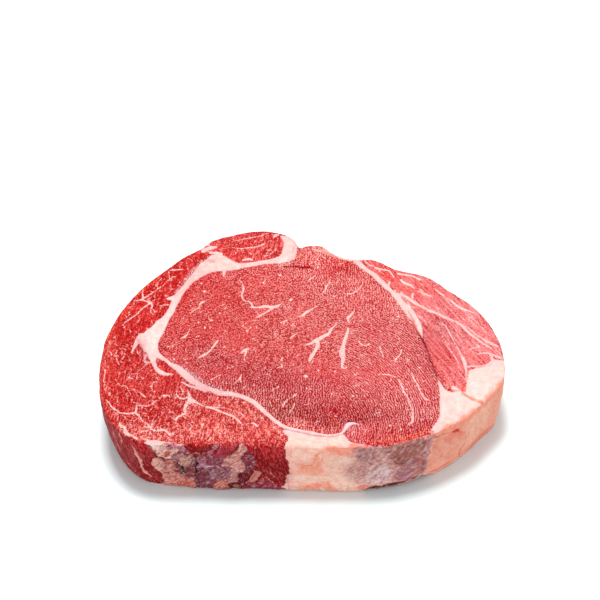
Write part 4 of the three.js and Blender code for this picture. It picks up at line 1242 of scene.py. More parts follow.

# %% [markdown]
# ## Lines on the wall
#
# Pale threads, dark creases and cracks run over the patches. Each is a stroke of the same form as the
# veins. Creases and cracks sink the skin, and their dark colour is painted shade, for the shade inside
# them. The shine lines are painted highlights, and the pale folds of the silverskin partly so.

# %% Lines on the wall
THREADS = [
    ("vein of the cap", "fat", (222, 150, 142), 0.1, [
        (45, 29.5, 0.25), (46, 26, 0.5), (47.4, 21, 0.5), (48.8, 17, 0.55), (48.6, 12, 0.5), (50, 9, 0.5),
        (52, 7.5, 0.4)]),
    ("second vein", "fat", (200, 118, 112), 0.1, [
        (32.4, 29, 0.2), (32, 25, 0.4), (34, 20, 0.3), (35, 16, 0.2)]),
    ("third vein", "fat", (206, 126, 122), 0.1, [(37, 31.6, 0.2), (37.6, 29.4, 0.4), (38.4, 25.6, 0.2)]),
    ("pale fibre", "fat", (190, 98, 94), 0.0, [(36.6, 13, 0.12), (39.6, 9.4, 0.3), (42.6, 5, 0.15)]),
    ("second pale fibre", "fat", (196, 110, 100), 0.0, [(40.6, 4, 0.15), (42.6, 4.6, 0.4), (44.6, 3, 0.15)]),
    ("third pale fibre", "fat", (190, 96, 92), 0.0, [(31.6, 17, 0.2), (33.4, 18.4, 0.5), (35, 16.4, 0.2)]),
    ("white bits", "fat", (248, 210, 200), 0.1, [(41, 35, 0.5), (43, 34.6, 0.7), (46, 34, 0.4)]),
    ("white of the strip", "fat", (250, 216, 206), 0.2, [
        (50.4, 35, 0.6), (54, 33.4, 1.1), (57, 31, 0.8), (59, 28.6, 0.3)]),
    ("white rim line", "fat", (252, 214, 214), 0.3, [
        (60.6, 32.8, 0.3), (63, 34.2, 0.4), (66, 34.3, 0.4), (68.4, 33, 0.3)]),
    ("shade at the corner's foot", "fat", (196, 116, 98), 0.0, [
        (182, 3.6, 0.3), (188, 4, 0.5), (195, 5, 0.4), (201, 5.6, 0.4), (208, 5, 0.5), (216, 4.6, 0.4),
        (222, 5.4, 0.3)]),
    # painted shade: the near-black of this crack and the next stands for the shade inside them
    ("crack in the cream", "tint", (18, 1, 3), -1.2, [
        (63, 22.6, 0.3), (64.8, 20.2, 0.4), (66, 18, 0.7), (67.2, 15.8, 0.6), (67.2, 13, 0.45),
        (68.2, 10.4, 0.3)]),
    ("crack by the grey", "tint", (40, 2, 6), -1.2, [
        (73.8, 25, 0.3), (74.4, 20.4, 0.4), (73.7, 16.4, 0.65), (72.8, 12, 0.34), (73.4, 8, 0.3),
        (73.6, 4, 0.2)]),
    ("blood in the crack", "tint", (176, 42, 42), -0.4, [(71.4, 14, 0.2), (71, 10, 0.25)]),
    ("dark speck", "tint", (106, 48, 46), -0.3, [(59.8, 17.6, 0.4), (60, 16.8, 0.35)]),
    ("second speck", "tint", (110, 60, 56), -0.3, [(59.4, 13, 0.4), (60.4, 12.6, 0.4)]),
    ("third speck", "tint", (110, 48, 44), -0.3, [(64.4, 14.6, 0.4), (65.2, 13.6, 0.35)]),
    # painted shade: the dark of the hole stands for the shade in it
    ("dark hole", "tint", (84, 30, 38), -0.5, [(73, 24.8, 0.25), (74.6, 25.5, 0.45), (75.3, 23.8, 0.25)]),
    ("pale top of the hole", "fat", (222, 178, 178), 0.2, [
        (72.6, 27.4, 0.2), (74.4, 28, 0.45), (76.4, 27.2, 0.2)]),
    # painted shade: the dark of this crack and of the creases of the strands stands for the shade inside them
    ("crack at the cream's foot", "tint", (96, 36, 38), -0.5, [(68.4, 1, 0.4), (69.4, 0.4, 0.5)]),
    ("crease of the strands", "tint", (112, 26, 38), -0.4, [
        (75, 23.4, 0.12), (78.4, 27.4, 0.22), (81.6, 32.8, 0.2), (83.4, 35, 0.15)]),
    ("second crease of the strands", "tint", (122, 34, 46), -0.4, [
        (77.6, 22.4, 0.12), (81.6, 27.4, 0.22), (84.6, 32.6, 0.15), (86, 35, 0.1)]),
    # painted highlights: these lighter lines stand for light on the wet strands and the bulging muscle
    ("shine of the strands", "tint", (192, 116, 128), 0.3, [
        (76.6, 23.2, 0.15), (80.2, 27.6, 0.3), (83.8, 33.4, 0.25), (85, 35.2, 0.15)]),
    ("upper shine of the strands", "tint", (180, 92, 104), 0.2, [
        (74.4, 25.4, 0.1), (77.4, 29, 0.25), (80.4, 33.4, 0.2)]),
    ("shine of the muscle", "tint", (200, 92, 104), 0.1, [
        (84.4, 28.6, 0.2), (86.8, 32.4, 0.35), (88.8, 35.6, 0.2)]),
    # painted shade: the dark edge of the bulging muscle, where it turns away from the light
    ("edge of the muscle", "tint", (112, 16, 28), -0.4, [
        (88, 26.6, 0.2), (90.8, 28.2, 0.35), (92.4, 31, 0.3), (92.3, 34, 0.2)]),
    ("pale line on grey", "fat", (228, 196, 196), 0.4, [
        (78.6, 18.3, 0.55), (80.6, 18.8, 0.55), (83, 19.2, 0.45), (84.8, 17.4, 0.4), (86.8, 15.6, 0.35)]),
    ("pale edge of the island", "fat", (226, 186, 172), 0.3, [
        (66.8, 27.4, 0.3), (69.4, 27.2, 0.4), (72.4, 27, 0.3), (73, 23.6, 0.25), (72, 19, 0.2)]),
    # painted shade: darker red below the raised strip
    ("red under the strip", "tint", (120, 8, 14), -0.4, [
        (55, 28.4, 0.3), (57.6, 25.2, 0.5), (61, 23.8, 0.4), (62.4, 21.8, 0.3)]),
    ("white speck", "fat", (226, 196, 204), 0.2, [(77.8, 5.8, 0.25), (78, 4.8, 0.3)]),
    # painted shade: the dark of the cracks below stands for the shade inside them
    ("crack under the column", "tint", (74, 18, 22), -0.9, [
        (88.2, 3.6, 0.3), (90, 5.7, 0.4), (93.4, 5.3, 0.35), (95, 3.8, 0.2)]),
    ("crack at the foot", "tint", (92, 26, 30), -0.6, [
        (81, 0.4, 0.2), (85, 0.8, 0.3), (89, 0.4, 0.3), (92.6, 0.8, 0.3)]),
    ("shade under the strip", "tint", (92, 16, 22), -0.35, [
        (50.4, 32.4, 0.1), (53.6, 28.6, 0.14), (56.8, 24.4, 0.2), (60, 23.4, 0.14)]),
    ("lilac streak", "fat", (214, 152, 164), 0.1, [(93.6, 4.8, 0.2), (95.6, 6.8, 0.35), (97.6, 7.8, 0.3)]),
    ("second lilac streak", "fat", (196, 122, 140), 0.1, [
        (95, 0.8, 0.15), (96.6, 3.6, 0.25), (98.6, 6, 0.15)]),
    ("third lilac streak", "fat", (196, 122, 140), 0.1, [
        (98.8, 0.8, 0.15), (100, 3.4, 0.25), (101.4, 6.4, 0.15)]),
    ("white thread", "fat", (206, 150, 150), 0.1, [(104, 10, 0.2), (103, 6, 0.22), (101, 2, 0.2)]),
    ("curved thread", "fat", (206, 148, 148), 0.1, [
        (105.5, 11, 0.15), (108, 8, 0.22), (109, 5, 0.2), (111, 1, 0.15)]),
    ("upper thread", "fat", (210, 150, 148), 0.1, [(105, 17, 0.15), (108, 15, 0.22), (110, 11, 0.15)]),
    ("thread at the foot", "fat", (200, 140, 142), 0.1, [(101, 5, 0.15), (99, 1, 0.2)]),
    ("thread at the rim", "fat", (232, 180, 180), 0.1, [(101.5, 35, 0.3), (101, 33, 0.25), (100.5, 31, 0.2)]),
    ("orange line in the fat", "fat", (222, 136, 108), 0.0, [
        (127, 25, 0.2), (128.8, 29.4, 0.35), (130.4, 31.6, 0.2)]),
    ("second orange line", "fat", (220, 132, 104), 0.0, [
        (121.6, 22.6, 0.25), (124.4, 21.4, 0.35), (126.6, 22, 0.2)]),
    ("third orange line", "fat", (222, 138, 112), 0.0, [(133, 9, 0.2), (134.4, 5, 0.35), (136, 2, 0.3)]),
    ("pale line in the orange", "fat", (246, 206, 190), 0.2, [
        (127.6, 22, 0.2), (129.4, 26, 0.3), (130.6, 28.4, 0.2)]),
    ("pale line at the foot", "fat", (246, 214, 202), 0.2, [(131, 4, 0.2), (131.8, 0.6, 0.35)]),
    ("mauve streak", "tint", (198, 150, 156), -0.2, [
        (116.6, 16, 0.4), (115.4, 11, 0.5), (115.4, 5, 0.4), (116.6, 0, 0.5)]),
    # painted shadow: the dark crease line stands for the shade under the fold
    ("crease of the silverskin", "tint", (98, 48, 46), -0.5, [
        (161.2, 26, 0.15), (162.4, 22.8, 0.25), (164.2, 20.4, 0.5), (167, 19.7, 0.5), (169.6, 20.7, 0.35),
        (173, 21.5, 0.25), (176.4, 22.8, 0.15)]),
    ("shade over the crease", "tint", (126, 70, 66), -0.2, [
        (163.6, 24.4, 0.2), (165.4, 22.6, 0.5), (167.6, 22.2, 0.3)]),
    ("streak of the brown", "fat", (186, 138, 132), 0.2, [
        (164, 25, 0.2), (167.4, 29, 0.35), (171.4, 32.4, 0.25)]),
    ("second streak of the brown", "fat", (180, 130, 124), 0.2, [
        (169, 24.4, 0.2), (172.4, 28.4, 0.35), (176.6, 31, 0.25)]),
    ("third streak of the brown", "fat", (190, 146, 140), 0.2, [
        (160, 31, 0.2), (165.4, 32.4, 0.35), (170, 33.6, 0.2)]),
    ("dark streak of the brown", "tint", (134, 82, 78), -0.2, [
        (170.6, 31.6, 0.15), (174, 29.4, 0.35), (177, 29.8, 0.2)]),
    ("pale bit by the crease", "fat", (226, 160, 142), 0.2, [
        (172.4, 21.4, 0.15), (174.6, 21.9, 0.25), (176, 22.6, 0.15)]),
    ("orange at the bulge", "tint", (214, 118, 98), 0.1, [
        (174.8, 21, 0.2), (175.6, 18.6, 0.4), (177.4, 16.6, 0.25)]),
    # the pale folds are partly paler membrane and partly painted highlight; the darker dips between them are
    # painted shade
    ("fold one", "fat", (224, 196, 194), 0.5, [
        (150.8, 15, 0.2), (152.6, 19.4, 0.3), (156.2, 23, 0.35), (160.8, 28.6, 0.2)]),
    ("fold two", "fat", (222, 194, 196), 0.5, [(151.4, 9.6, 0.25), (153.6, 14.6, 0.4), (157, 19, 0.25)]),
    ("fold three", "fat", (220, 190, 208), 0.5, [(154.8, 8, 0.3), (157.8, 12.6, 0.55), (161, 17, 0.4)]),
    ("fold four", "fat", (218, 190, 190), 0.4, [(153, 7, 0.2), (155.2, 12, 0.3), (159, 16.6, 0.25)]),
    ("dip one", "tint", (170, 126, 128), -0.25, [(152.2, 8.6, 0.2), (154.6, 13, 0.35), (158, 17.6, 0.25)]),
    ("dip two", "tint", (170, 126, 128), -0.25, [(151.6, 14.6, 0.2), (154.4, 19.2, 0.3), (158.4, 23.4, 0.3)]),
    ("dip three", "tint", (172, 130, 136), -0.25, [(157, 7.4, 0.2), (159.4, 11.4, 0.35), (162, 14.4, 0.25)]),
    ("fold at the rim", "fat", (214, 178, 172), 0.3, [
        (153.4, 31, 0.2), (152.6, 28.4, 0.3), (150.6, 25, 0.2)]),
    ("fold by the brown", "fat", (196, 150, 146), 0.3, [
        (158, 26.4, 0.15), (161, 29.4, 0.3), (163.6, 31.6, 0.15)]),
    ("dark blotch", "tint", (142, 96, 98), -0.2, [
        (145.8, 27.8, 0.3), (147.4, 27.2, 0.6), (149.4, 26.8, 0.3)]),
    ("second blotch", "tint", (148, 104, 108), -0.2, [
        (149.6, 24.2, 0.2), (151.6, 23.4, 0.5), (153.4, 22, 0.2)]),
    ("third blotch", "tint", (158, 114, 116), -0.2, [
        (148.8, 20.4, 0.2), (150.6, 19.4, 0.45), (152, 18, 0.2)]),
    ("white spot at the rim", "fat", (250, 216, 208), 0.1, [(167.4, 35, 0.5), (168.6, 34.6, 0.5)]),
    ("edge of the band", "tint", (136, 84, 80), -0.3, [
        (180, 34, 0.1), (178.3, 25, 0.18), (177.6, 15, 0.2), (178.6, 6, 0.15)]),
    ("red spot", "tint", (180, 24, 22), -0.4, [
        (192.4, 28, 0.2), (193.8, 28, 0.6), (195.4, 27.2, 0.3), (197, 25.4, 0.15)]),
    ("tail of the spot", "tint", (206, 110, 92), -0.2, [
        (197, 25.4, 0.2), (199, 22.4, 0.15), (200.6, 18, 0.15)]),
    ("crack of the corner", "tint", (176, 84, 70), -0.4, [(199.4, 4, 0.3), (199, 7, 0.4), (198.8, 11, 0.15)]),
    ("crack beside it", "tint", (204, 116, 98), -0.3, [
        (199, 8, 0.15), (200.4, 12, 0.25), (201.2, 16, 0.25), (200.8, 19, 0.1)]),
    ("red fold at the rim", "tint", (184, 74, 64), -0.3, [
        (181.4, 33, 0.3), (183, 30.4, 0.5), (185, 30, 0.3), (190, 30, 0.15)]),
    ("faint line", "tint", (206, 124, 106), -0.2, [(186, 29, 0.15), (188.6, 26, 0.2), (190, 22.6, 0.12)]),
    ("fainter line", "tint", (208, 132, 114), -0.2, [(190.4, 30, 0.12), (191.6, 25, 0.16), (191.4, 20, 0.1)]),
    ("line to the foot", "tint", (206, 126, 108), -0.2, [(184, 23, 0.12), (187, 15, 0.16), (192, 9, 0.12)]),
    ("line below the lobes", "tint", (220, 142, 118), -0.3, [
        (205.6, 35, 0.5), (208, 32.6, 0.5), (208.8, 27, 0.2)]),
    ("line to the corner", "tint", (214, 134, 112), -0.3, [(206, 20, 0.12), (212, 14, 0.2), (217, 6, 0.15)]),
    ("second line to the corner", "tint", (214, 134, 112), -0.3, [
        (213, 28, 0.12), (218, 21, 0.2), (223, 15, 0.12)]),
    ("dent of the corner", "tint", (218, 152, 132), -0.3, [(206, 26, 0.2), (208, 18, 0.4), (207, 10, 0.2)]),
    ("thread of the tail", "fat", (236, 190, 182), 0.1, [(266, 24, 0.2), (276, 20, 0.3), (288, 21, 0.2)]),
    ("second thread of the tail", "fat", (232, 182, 176), 0.1, [
        (270, 12, 0.2), (282, 9, 0.3), (296, 12, 0.2)]),
    ("thread of the far muscle", "fat", (224, 170, 164), 0.1, [
        (384, 26, 0.2), (392, 18, 0.3), (398, 8, 0.2)]),
    ("thread of the cap's back", "fat", (218, 160, 154), 0.1, [
        (446, 27, 0.2), (456, 20, 0.3), (470, 17, 0.3), (486, 20, 0.15)]),
    # painted shade: the dark of the crease stands for the shade inside it
    ("crease of the cap's back", "tint", (110, 40, 44), -0.5, [
        (488, 30, 0.2), (494, 20, 0.4), (496, 8, 0.2)]),
]
print(len(THREADS), "threads and creases")

# %% [markdown]
# ## Painting the wall
#
# Patches and threads are laid on in order, each over the ones before, like glazes. Smooth random lumps
# first bend the map a little, so that no edge comes out drawn with a ruler.

# %% Paint the wall
# the near wall lies in shade, so its colours are mixed lighter, most of all at its foot and its rim
SHADE_HEIGHTS = (0, 4, 11, 18, 25, 31, 34)
LEAN_LIGHTER = np.array([(1.35, 1.3, 1.06, 1.04, 1.14, 1.34, 1.45), (1.25, 1.2, 1, 0.98, 1.02, 1.14, 1.2)])
FAT_LIGHTER = np.array([1.5, 1.42, 1.12, 1.06, 1.08, 1.14, 1.2])
WALL_FAT = (240, 190, 172)
BENDS = [(0.8, 2.6, 7), (0.55, 1.15, 9)]  # how far the map bends in mm, the size of the lumps and a seed
UPRIGHT_COUNTS = 0.9
PATCH_STEP = 1.2
PATCH_MARGIN = 4
THREAD_MARGIN = 3
THREAD_SOFT = 0.2
RISE_WITHIN = (-0.5, 1.2)

wall_place = np.stack([along, height], axis=1)
bent = wall_place.copy()
for far, lump, seed in BENDS:
    bent += far * lump_pair(skin * (1, 1, UPRIGHT_COUNTS), lump, seed)
film = np.zeros(len(skin))
stands_out = np.zeros(len(skin))
side_lean = np.tile(colour(WALL_LEAN), (len(skin), 1))
side_fat = np.tile(colour(WALL_FAT), (len(skin), 1))
to_side_fat = np.full(len(skin), FAR_AWAY)


def wall_near(curve, margin):
    """The points of the wall round a curve."""
    low = curve[:, :2].min(axis=0) - margin
    high = curve[:, :2].max(axis=0) + margin
    return np.flatnonzero(on_wall & np.all((wall_place > low) & (wall_place < high), axis=1))


def lay_on(points, distance, tissue, tint, out, soft):
    """Paint a patch over what is there. The distance is below zero inside the patch."""
    share = ease(-distance, -soft, soft)
    if tissue != "fat":
        glaze(side_lean, tint, share, points)
    if tissue in ("lean", "film"):
        film[points] += share * ((tissue == "film") - film[points])
    if tissue != "lean":
        glaze(side_fat, tint, share, points)
    if tissue == "fat":
        to_side_fat[points] = np.minimum(to_side_fat[points], distance)
    if tissue == "lean":
        to_side_fat[points] = np.maximum(to_side_fat[points], -distance)
    rise = ease(-distance, *RISE_WITHIN)
    stands_out[points] += rise * (out - stands_out[points])


for name, tissue, tint, out, soft, outline in PATCHES:
    curve = rounded(outline, PATCH_STEP, closed=True)
    near = wall_near(curve, PATCH_MARGIN)
    lay_on(near, outline_distance(bent[near], curve), tissue, tint, out, soft)
for name, tissue, tint, out, line in THREADS:
    curve = rounded(line)
    near = wall_near(curve, THREAD_MARGIN)
    lay_on(near, stroke_distance(bent[near], curve), tissue, tint, out, THREAD_SOFT)
side_lean[:, 0] *= np.interp(height, SHADE_HEIGHTS, LEAN_LIGHTER[0])
side_lean[:, 1:] *= np.interp(height, SHADE_HEIGHTS, LEAN_LIGHTER[1])[:, None]
side_fat *= np.interp(height, SHADE_HEIGHTS, FAT_LIGHTER)[:, None]
print("silverskin covers", round(float(film[on_wall].mean()) * 100), "% of the wall")

# %% [markdown]
# ## Where the cut face ends
#
# The rim is where the knife left the wall. Above it the map of the cut face counts, below it the painted
# wall. The change happens within a millimetre or two, along a slightly uneven line, and most sharply on
# the fat. The foot is treated in the same way.

# %% Where the cut face ends
RIM_LINE = 33.9
FOOT_LINE = 1.0
LINE_SOFT = 0.6
UNEVEN = [(0.7, 1, 6, 11), (0.5, 0.4, 1.9, 12)]
SOFT_ON_FAT = 0.4
SOFTER_ON_LEAN = 0.8
FAT_TO_LEAN = (-0.3, 0.6)
TORN_BEGINS = (54, 60)
TORN_ENDS = (96, 104)
FARTHEST = 3

uneven = lump_sum(skin, UNEVEN)
softness = SOFT_ON_FAT + SOFTER_ON_LEAN * ease(to_side_fat, *FAT_TO_LEAN)
above_rim = ease(height + uneven, RIM_LINE - softness, RIM_LINE + LINE_SOFT)
below_foot = 1 - ease(height + uneven, FOOT_LINE - LINE_SOFT, FOOT_LINE)
face = np.where(on_wall, np.maximum(above_rim, below_foot), 1)
lean = side_lean + face[:, None] * (lean - side_lean)
fat = side_fat + face[:, None] * (fat - side_fat)
to_fat = np.clip(to_side_fat + face * (to_fat - to_side_fat), -FARTHEST, FARTHEST)
to_fleck = np.clip(FAR_AWAY + face * (to_vein - FAR_AWAY), -FARTHEST, FARTHEST)
film *= 1 - face
torn = (1 - face) * ease(along + 2 * uneven, *TORN_BEGINS) * (1 - ease(along + 2 * uneven, *TORN_ENDS))
print("fat on", round(float(np.mean(to_fat < 0)) * 100), "% of all points")

# %% [markdown]
# ## Raising and sinking the skin
#
# Fat is firmer than lean, so the seams stand a little proud and the lean rolls down beside them. The wall
# follows the patches, with streaks along the fibres and folds in the silverskin, and its foot sags out
# below the torn tissue. All of it stays within the box of the plain solid.

# %% Raise and sink the skin
SETTLED = 0.32
SEAM_RISE = 0.22
ROLL_DOWN = 0.26
ROLL_REACH = 0.9
# each lot of lumps: how strong, how much upright lengths count, their size and a seed
FACE_LUMPS = [(0.2, 1, 17, 13), (0.1, 1, 5, 14), (0.05, 1, 1.7, 15)]
FIBRES = [(1, 0.12, 1.5, 16), (0.6, 0.2, 0.8, 17)]
FOLDS = [(1, 0.8, 3.6, 18), (0.5, 1, 1.6, 19)]
RIM_LUMPS = [(0.28, 1, 5, 20), (0.16, 1, 2, 21)]
TORN_LUMPS = [(1, 1, 2.2, 24), (0.6, 1, 1.1, 25)]
FIBRE_RELIEF = 0.2
FOLD_RELIEF = 0.35
FAT_RELIEF = 0.16
TORN_RELIEF = 0.5
WALL_SETTLED = 0.12
RIM_PROUD = 0.05
WITHIN_BOX = 0.05
FOOT_SAG = 1.3
SAG_BEGINS = (62, 74)  # mm along the edge
SAG_ENDS = (88, 100)
SAG_UP_TO = 14
RISE_FROM = 32.6  # mm up
WALL_ENDS = (32.4, 34.2)
RIM_BEGINS = (31.5, 33)
SEAM_EDGE = (-0.2, 0.8)
FIBRES_BEGIN = (-0.2, 0.4)  # mm from the fat

top_share = np.where(on_wall, ease(height, RISE_FROM, RIM_HEIGHT), ~on_lower)
rise = lump_sum(plan, FACE_LUMPS)
rise += SEAM_RISE * ease(-to_fat, *SEAM_EDGE)
rise -= ROLL_DOWN * np.exp(-(np.maximum(to_fat, 0) / ROLL_REACH) ** 2) * (to_fat > 0)
rise -= SETTLED + sunk
shaped = skin.copy()
shaped[:, 2] += top_share * rise
shaped[:, 2] = np.minimum(shaped[:, 2], THICKNESS)

fold = lump_sum(skin, FOLDS)
side_lean_share = (1 - film) * ease(to_fat, *FIBRES_BEGIN)
out = stands_out + FIBRE_RELIEF * lump_sum(skin, FIBRES) * side_lean_share + FOLD_RELIEF * fold * film
out += FAT_RELIEF * fold * (1 - side_lean_share) * (1 - film) - WALL_SETTLED
out *= 1 - ease(height, *WALL_ENDS)
out += TORN_RELIEF * torn * lump_sum(skin, TORN_LUMPS)
out += FOOT_SAG * ease(along, *SAG_BEGINS) * (1 - ease(along, *SAG_ENDS)) * (1 - height / SAG_UP_TO).clip(0)
out += (lump_sum(skin, RIM_LUMPS) + RIM_PROUD) * ease(height, *RIM_BEGINS)
out *= on_wall
from_middle = plan / np.hypot(*plan.T).clip(TINY)[:, None]
shaped[:, :2] += from_middle * out[:, None]
widest = np.abs(wall[:, :2]).max(axis=0) - WITHIN_BOX
shaped[:, :2] = shaped[:, :2].clip(-widest, widest)
plain_size = np.ptp(np.array([c[:] for c in corners]), axis=0) / MM
skin_size = np.ptp(shaped, axis=0)
print("skin is", skin_size.round(2).tolist(), "mm; the plain solid is", plain_size.round(2).tolist())

# %% [markdown]
# ## Lifting the foot
#
# Below the silverskin the foot curls up off the ground, most of all in a notch beside the fat of the
# corner. The lower face follows it there, and is a little hollow, so that it rests on its rim as soft
# meat does.

# %% Lift the foot
FOOT_LIFT = 1.6
LIFT_BEGINS = (157, 162)  # mm along the edge
LIFT_ENDS = (182, 186)
NOTCH_LIFT, NOTCH_AT, NOTCH_REACH = 2.2, 178.5, 2.6
LIFT_VARIES = 0.15
LIFT_UP_TO = 12
LIFT_INWARDS = 5
HOLLOW = 0.35
HOLLOW_BEGINS = (1, 12)  # mm in from the edge

lift = FOOT_LIFT * ease(along, *LIFT_BEGINS) * (1 - ease(along, *LIFT_ENDS))
lift *= 1 - LIFT_VARIES + LIFT_VARIES * lumps(plan, 5, 22)
lift += NOTCH_LIFT * np.exp(-(((along - NOTCH_AT) / NOTCH_REACH) ** 2))
turn = np.arctan2(plan[:, 1], plan[:, 0])
foot_radius = np.interp(turn, column_turn, grid_radius[:column_count], period=2 * math.pi)
inwards = foot_radius - np.hypot(*plan.T)
shaped[:, 2] += np.where(on_wall, lift * (1 - height / LIFT_UP_TO).clip(0) ** 2, 0)
hollow = HOLLOW * (1 + lumps(plan, 9, 23)) * ease(inwards, *HOLLOW_BEGINS)
shaped[:, 2] += np.where(on_lower, lift * np.exp(-(inwards / LIFT_INWARDS) ** 2) + hollow, 0)
print("foot lifted by up to", lift.max().round(2), "mm; lower face hollow by", hollow.max().round(2))

# %% [markdown]
# ## Where the grain changes
#
# The saw marks the right part of the eye with arcs, and its near and far parts with upright ribs. The
# middle has wide soft stripes. The cap and the far muscle are coarse, the tail is drawn out into long
# streaks. How busy the grain looks also changes from place to place.

# %% Where the grain changes
RIBS_GIVE_WAY = (8, 24)  # mm to the right of the middle, where the arcs take over
ARCS_BEGIN = (-24, 2)  # mm to the near side
RIBS_BEGIN = (18, 32)
FAR_RIBS, FAR_RIBS_BEGIN = 0.7, (20, 42)
CURL = (27, -59, 7, 5)  # middle and reach of the calm curl, and likewise for the two below
STRIPED = (-2, -2, 15, 15)
STREAKY = (-19, -53, 14, 10)
STREAKY_SHARE = 0.6
WALL_BUSY = 1.5
FACE_BUSY = 0.8
BUSY_LUMPS = (0.3, 1, 8, 26)  # strength, how much upright lengths count, size and seed
BUSIER_NEAR, BUSIER_NEAR_BEGINS = 0.5, (20, 42)
BUSIER_FAR, BUSIER_FAR_BEGINS = 0.3, (15, 40)
CURL_CALM = 0.6
MUSCLE_CALM, MUSCLE_EDGE = 1.2, (-0.5, 0.5)
MARKED = 0.5

in_eye = in_muscle["eye"] * face
seen_x, seen_y = seen_at.T


def round_about(x, y, reach_x, reach_y):
    """A share that is 1 at a place of the cut face and fades out round it."""
    return np.exp(-(((seen_x - x) / reach_x) ** 2 + ((seen_y - y) / reach_y) ** 2))


right_part = ease(seen_x, *RIBS_GIVE_WAY) * ease(-seen_y, *ARCS_BEGIN)
near_part = ease(-seen_y, *RIBS_BEGIN) * (1 - ease(seen_x, *RIBS_GIVE_WAY))
far_part = FAR_RIBS * ease(seen_x + seen_y, *FAR_RIBS_BEGIN) * (1 - right_part)
coarse = np.maximum(in_muscle["cap"], in_muscle["far muscle"]) * face
grain = np.stack([in_eye * right_part, in_eye * np.maximum(near_part, far_part), coarse], axis=1)
stripes = in_eye * round_about(*STRIPED)
streaky = STREAKY_SHARE * in_muscle["cap"] * round_about(*STREAKY)
smooth = np.maximum(in_muscle["tail"], streaky) * face

busy = FACE_BUSY + lump_sum(seen_at, [BUSY_LUMPS]) + BUSIER_NEAR * ease(-seen_y, *BUSIER_NEAR_BEGINS)
busy += BUSIER_FAR * ease(seen_x + seen_y, *BUSIER_FAR_BEGINS)
busy *= 1 - CURL_CALM * round_about(*CURL)
smooth_muscle = next(patch[-1] for patch in PATCHES if patch[0] == "smooth bulging muscle")
calmed = ease(-outline_distance(wall_place, np.array(smooth_muscle, float)), *MUSCLE_EDGE) * on_wall
busy = WALL_BUSY + face * (busy - WALL_BUSY) - MUSCLE_CALM * calmed * (1 - face)
print("saw marks on", round(float(np.mean(grain[:, :2].max(axis=1) > MARKED)) * 100), "% of the points")

# %% [markdown]
# ## The mesh and its facts
#
# Blender can store any number for each point of a mesh, as an attribute, and a material can read it. So
# everything worked out above goes into the mesh: two colours, two distances to fat, and shares that say
# how much of each kind of grain and tissue a point has.

# %% The mesh and its facts
beef_mesh = bpy.data.meshes.new("beef_slice")
beef_mesh.from_pydata((shaped * MM).tolist(), [], faces)
beef_mesh.update()
beef_mesh.shade_smooth()
beef = bpy.data.objects.new("beef_slice", beef_mesh)
bpy.context.scene.collection.objects.link(beef)


def store(name, values):
    """Store one number or one colour for each point of the mesh."""
    if values.ndim == 1:
        beef_mesh.attributes.new(name, "FLOAT", "POINT").data.foreach_set("value", values)
        return
    with_alpha = np.column_stack([values, np.ones(len(values))])
    beef_mesh.attributes.new(name, "FLOAT_COLOR", "POINT").data.foreach_set("color", with_alpha.ravel())


facts = {"lean_colour": lean.clip(0, 1), "fat_colour": fat.clip(0, 1), "grain": grain,
         "to_fat": to_fat, "to_fleck": to_fleck, "gap": gap, "film": film, "face": face.astype(float),
         "torn": torn, "smooth": smooth, "stripes": stripes, "busy": busy}
for fact_name, fact_values in facts.items():
    store(fact_name, fact_values)
print(len(beef_mesh.attributes), "attributes on", len(beef_mesh.vertices), "points")

# %% [markdown]
# ## Helpers for the material
#
# A material is a chain of nodes. Written out one by one they fill pages, so short helpers add a node, a
# sum, a soft step or a blend. Whatever is passed in as a number is typed into the node, and whatever is
# another node's output is wired to it.

# %% Helpers for the material
recipe = bpy.data.materials.new("raw_beef")
recipe.use_nodes = True
shop = recipe.node_tree
shop.nodes.clear()


def add(kind, inputs, **settings):
    """Add a node, type in or wire up its inputs, and give its first output."""
    node = shop.nodes.new("ShaderNode" + kind)
    for name, value in settings.items():
        setattr(node, name, value)
    for name, value in inputs.items():
        if isinstance(value, bpy.types.NodeSocket):
            shop.links.new(value, node.inputs[name])
        else:
            node.inputs[name].default_value = value
    return node.outputs[0]


def fact(name):
    """A number that the mesh holds for each point."""
    return add("Attribute", {}, attribute_name=name).node.outputs["Fac"]


def fact_colour(name):
    """A colour that the mesh holds for each point."""
    return add("Attribute", {}, attribute_name=name)


def calc(operation, first, second=0.5, third=0.5):
    """A sum of numbers, with the names that the Math node gives its operations."""
    return add("Math", {0: first, 1: second, 2: third}, operation=operation)


def plus(first, second):
    """Two numbers added."""
    return calc("ADD", first, second)


def minus(first, second):
    """The second number taken from the first."""
    return calc("SUBTRACT", first, second)


def times(first, second):
    """Two numbers multiplied."""
    return calc("MULTIPLY", first, second)


def times_plus(first, second, third):
    """Two numbers multiplied, and a third added."""
    return calc("MULTIPLY_ADD", first, second, third)


def step(value, low, high, from_value=0.0, to_value=1.0):
    """A soft step from one value to another while the input goes from low to high."""
    inputs = {"Value": value, "From Min": low, "From Max": high, "To Min": from_value, "To Max": to_value}
    return add("MapRange", inputs, interpolation_type="SMOOTHSTEP")


def blend(share, first, second):
    """Two colours mixed."""
    node = add("Mix", {0: share, 6: first, 7: second}, data_type="RGBA").node
    return node.outputs[2]


def tinted(first, second):
    """Two colours multiplied, as when one lies over the other like stained glass."""
    node = add("Mix", {0: 1.0, 6: first, 7: second}, data_type="RGBA", blend_type="MULTIPLY").node
    return node.outputs[2]


def vector_calc(operation, first, second):
    """A sum of vectors."""
    return add("VectorMath", {0: first, 1: second}, operation=operation)


def noise(place, per_mm, detail=2.0, roughness=0.55):
    """Smooth noise from 0 to 1, with lumps of 1 / per_mm."""
    inputs = {"Vector": place, "Scale": per_mm, "Detail": detail, "Roughness": roughness}
    return add("TexNoise", inputs)


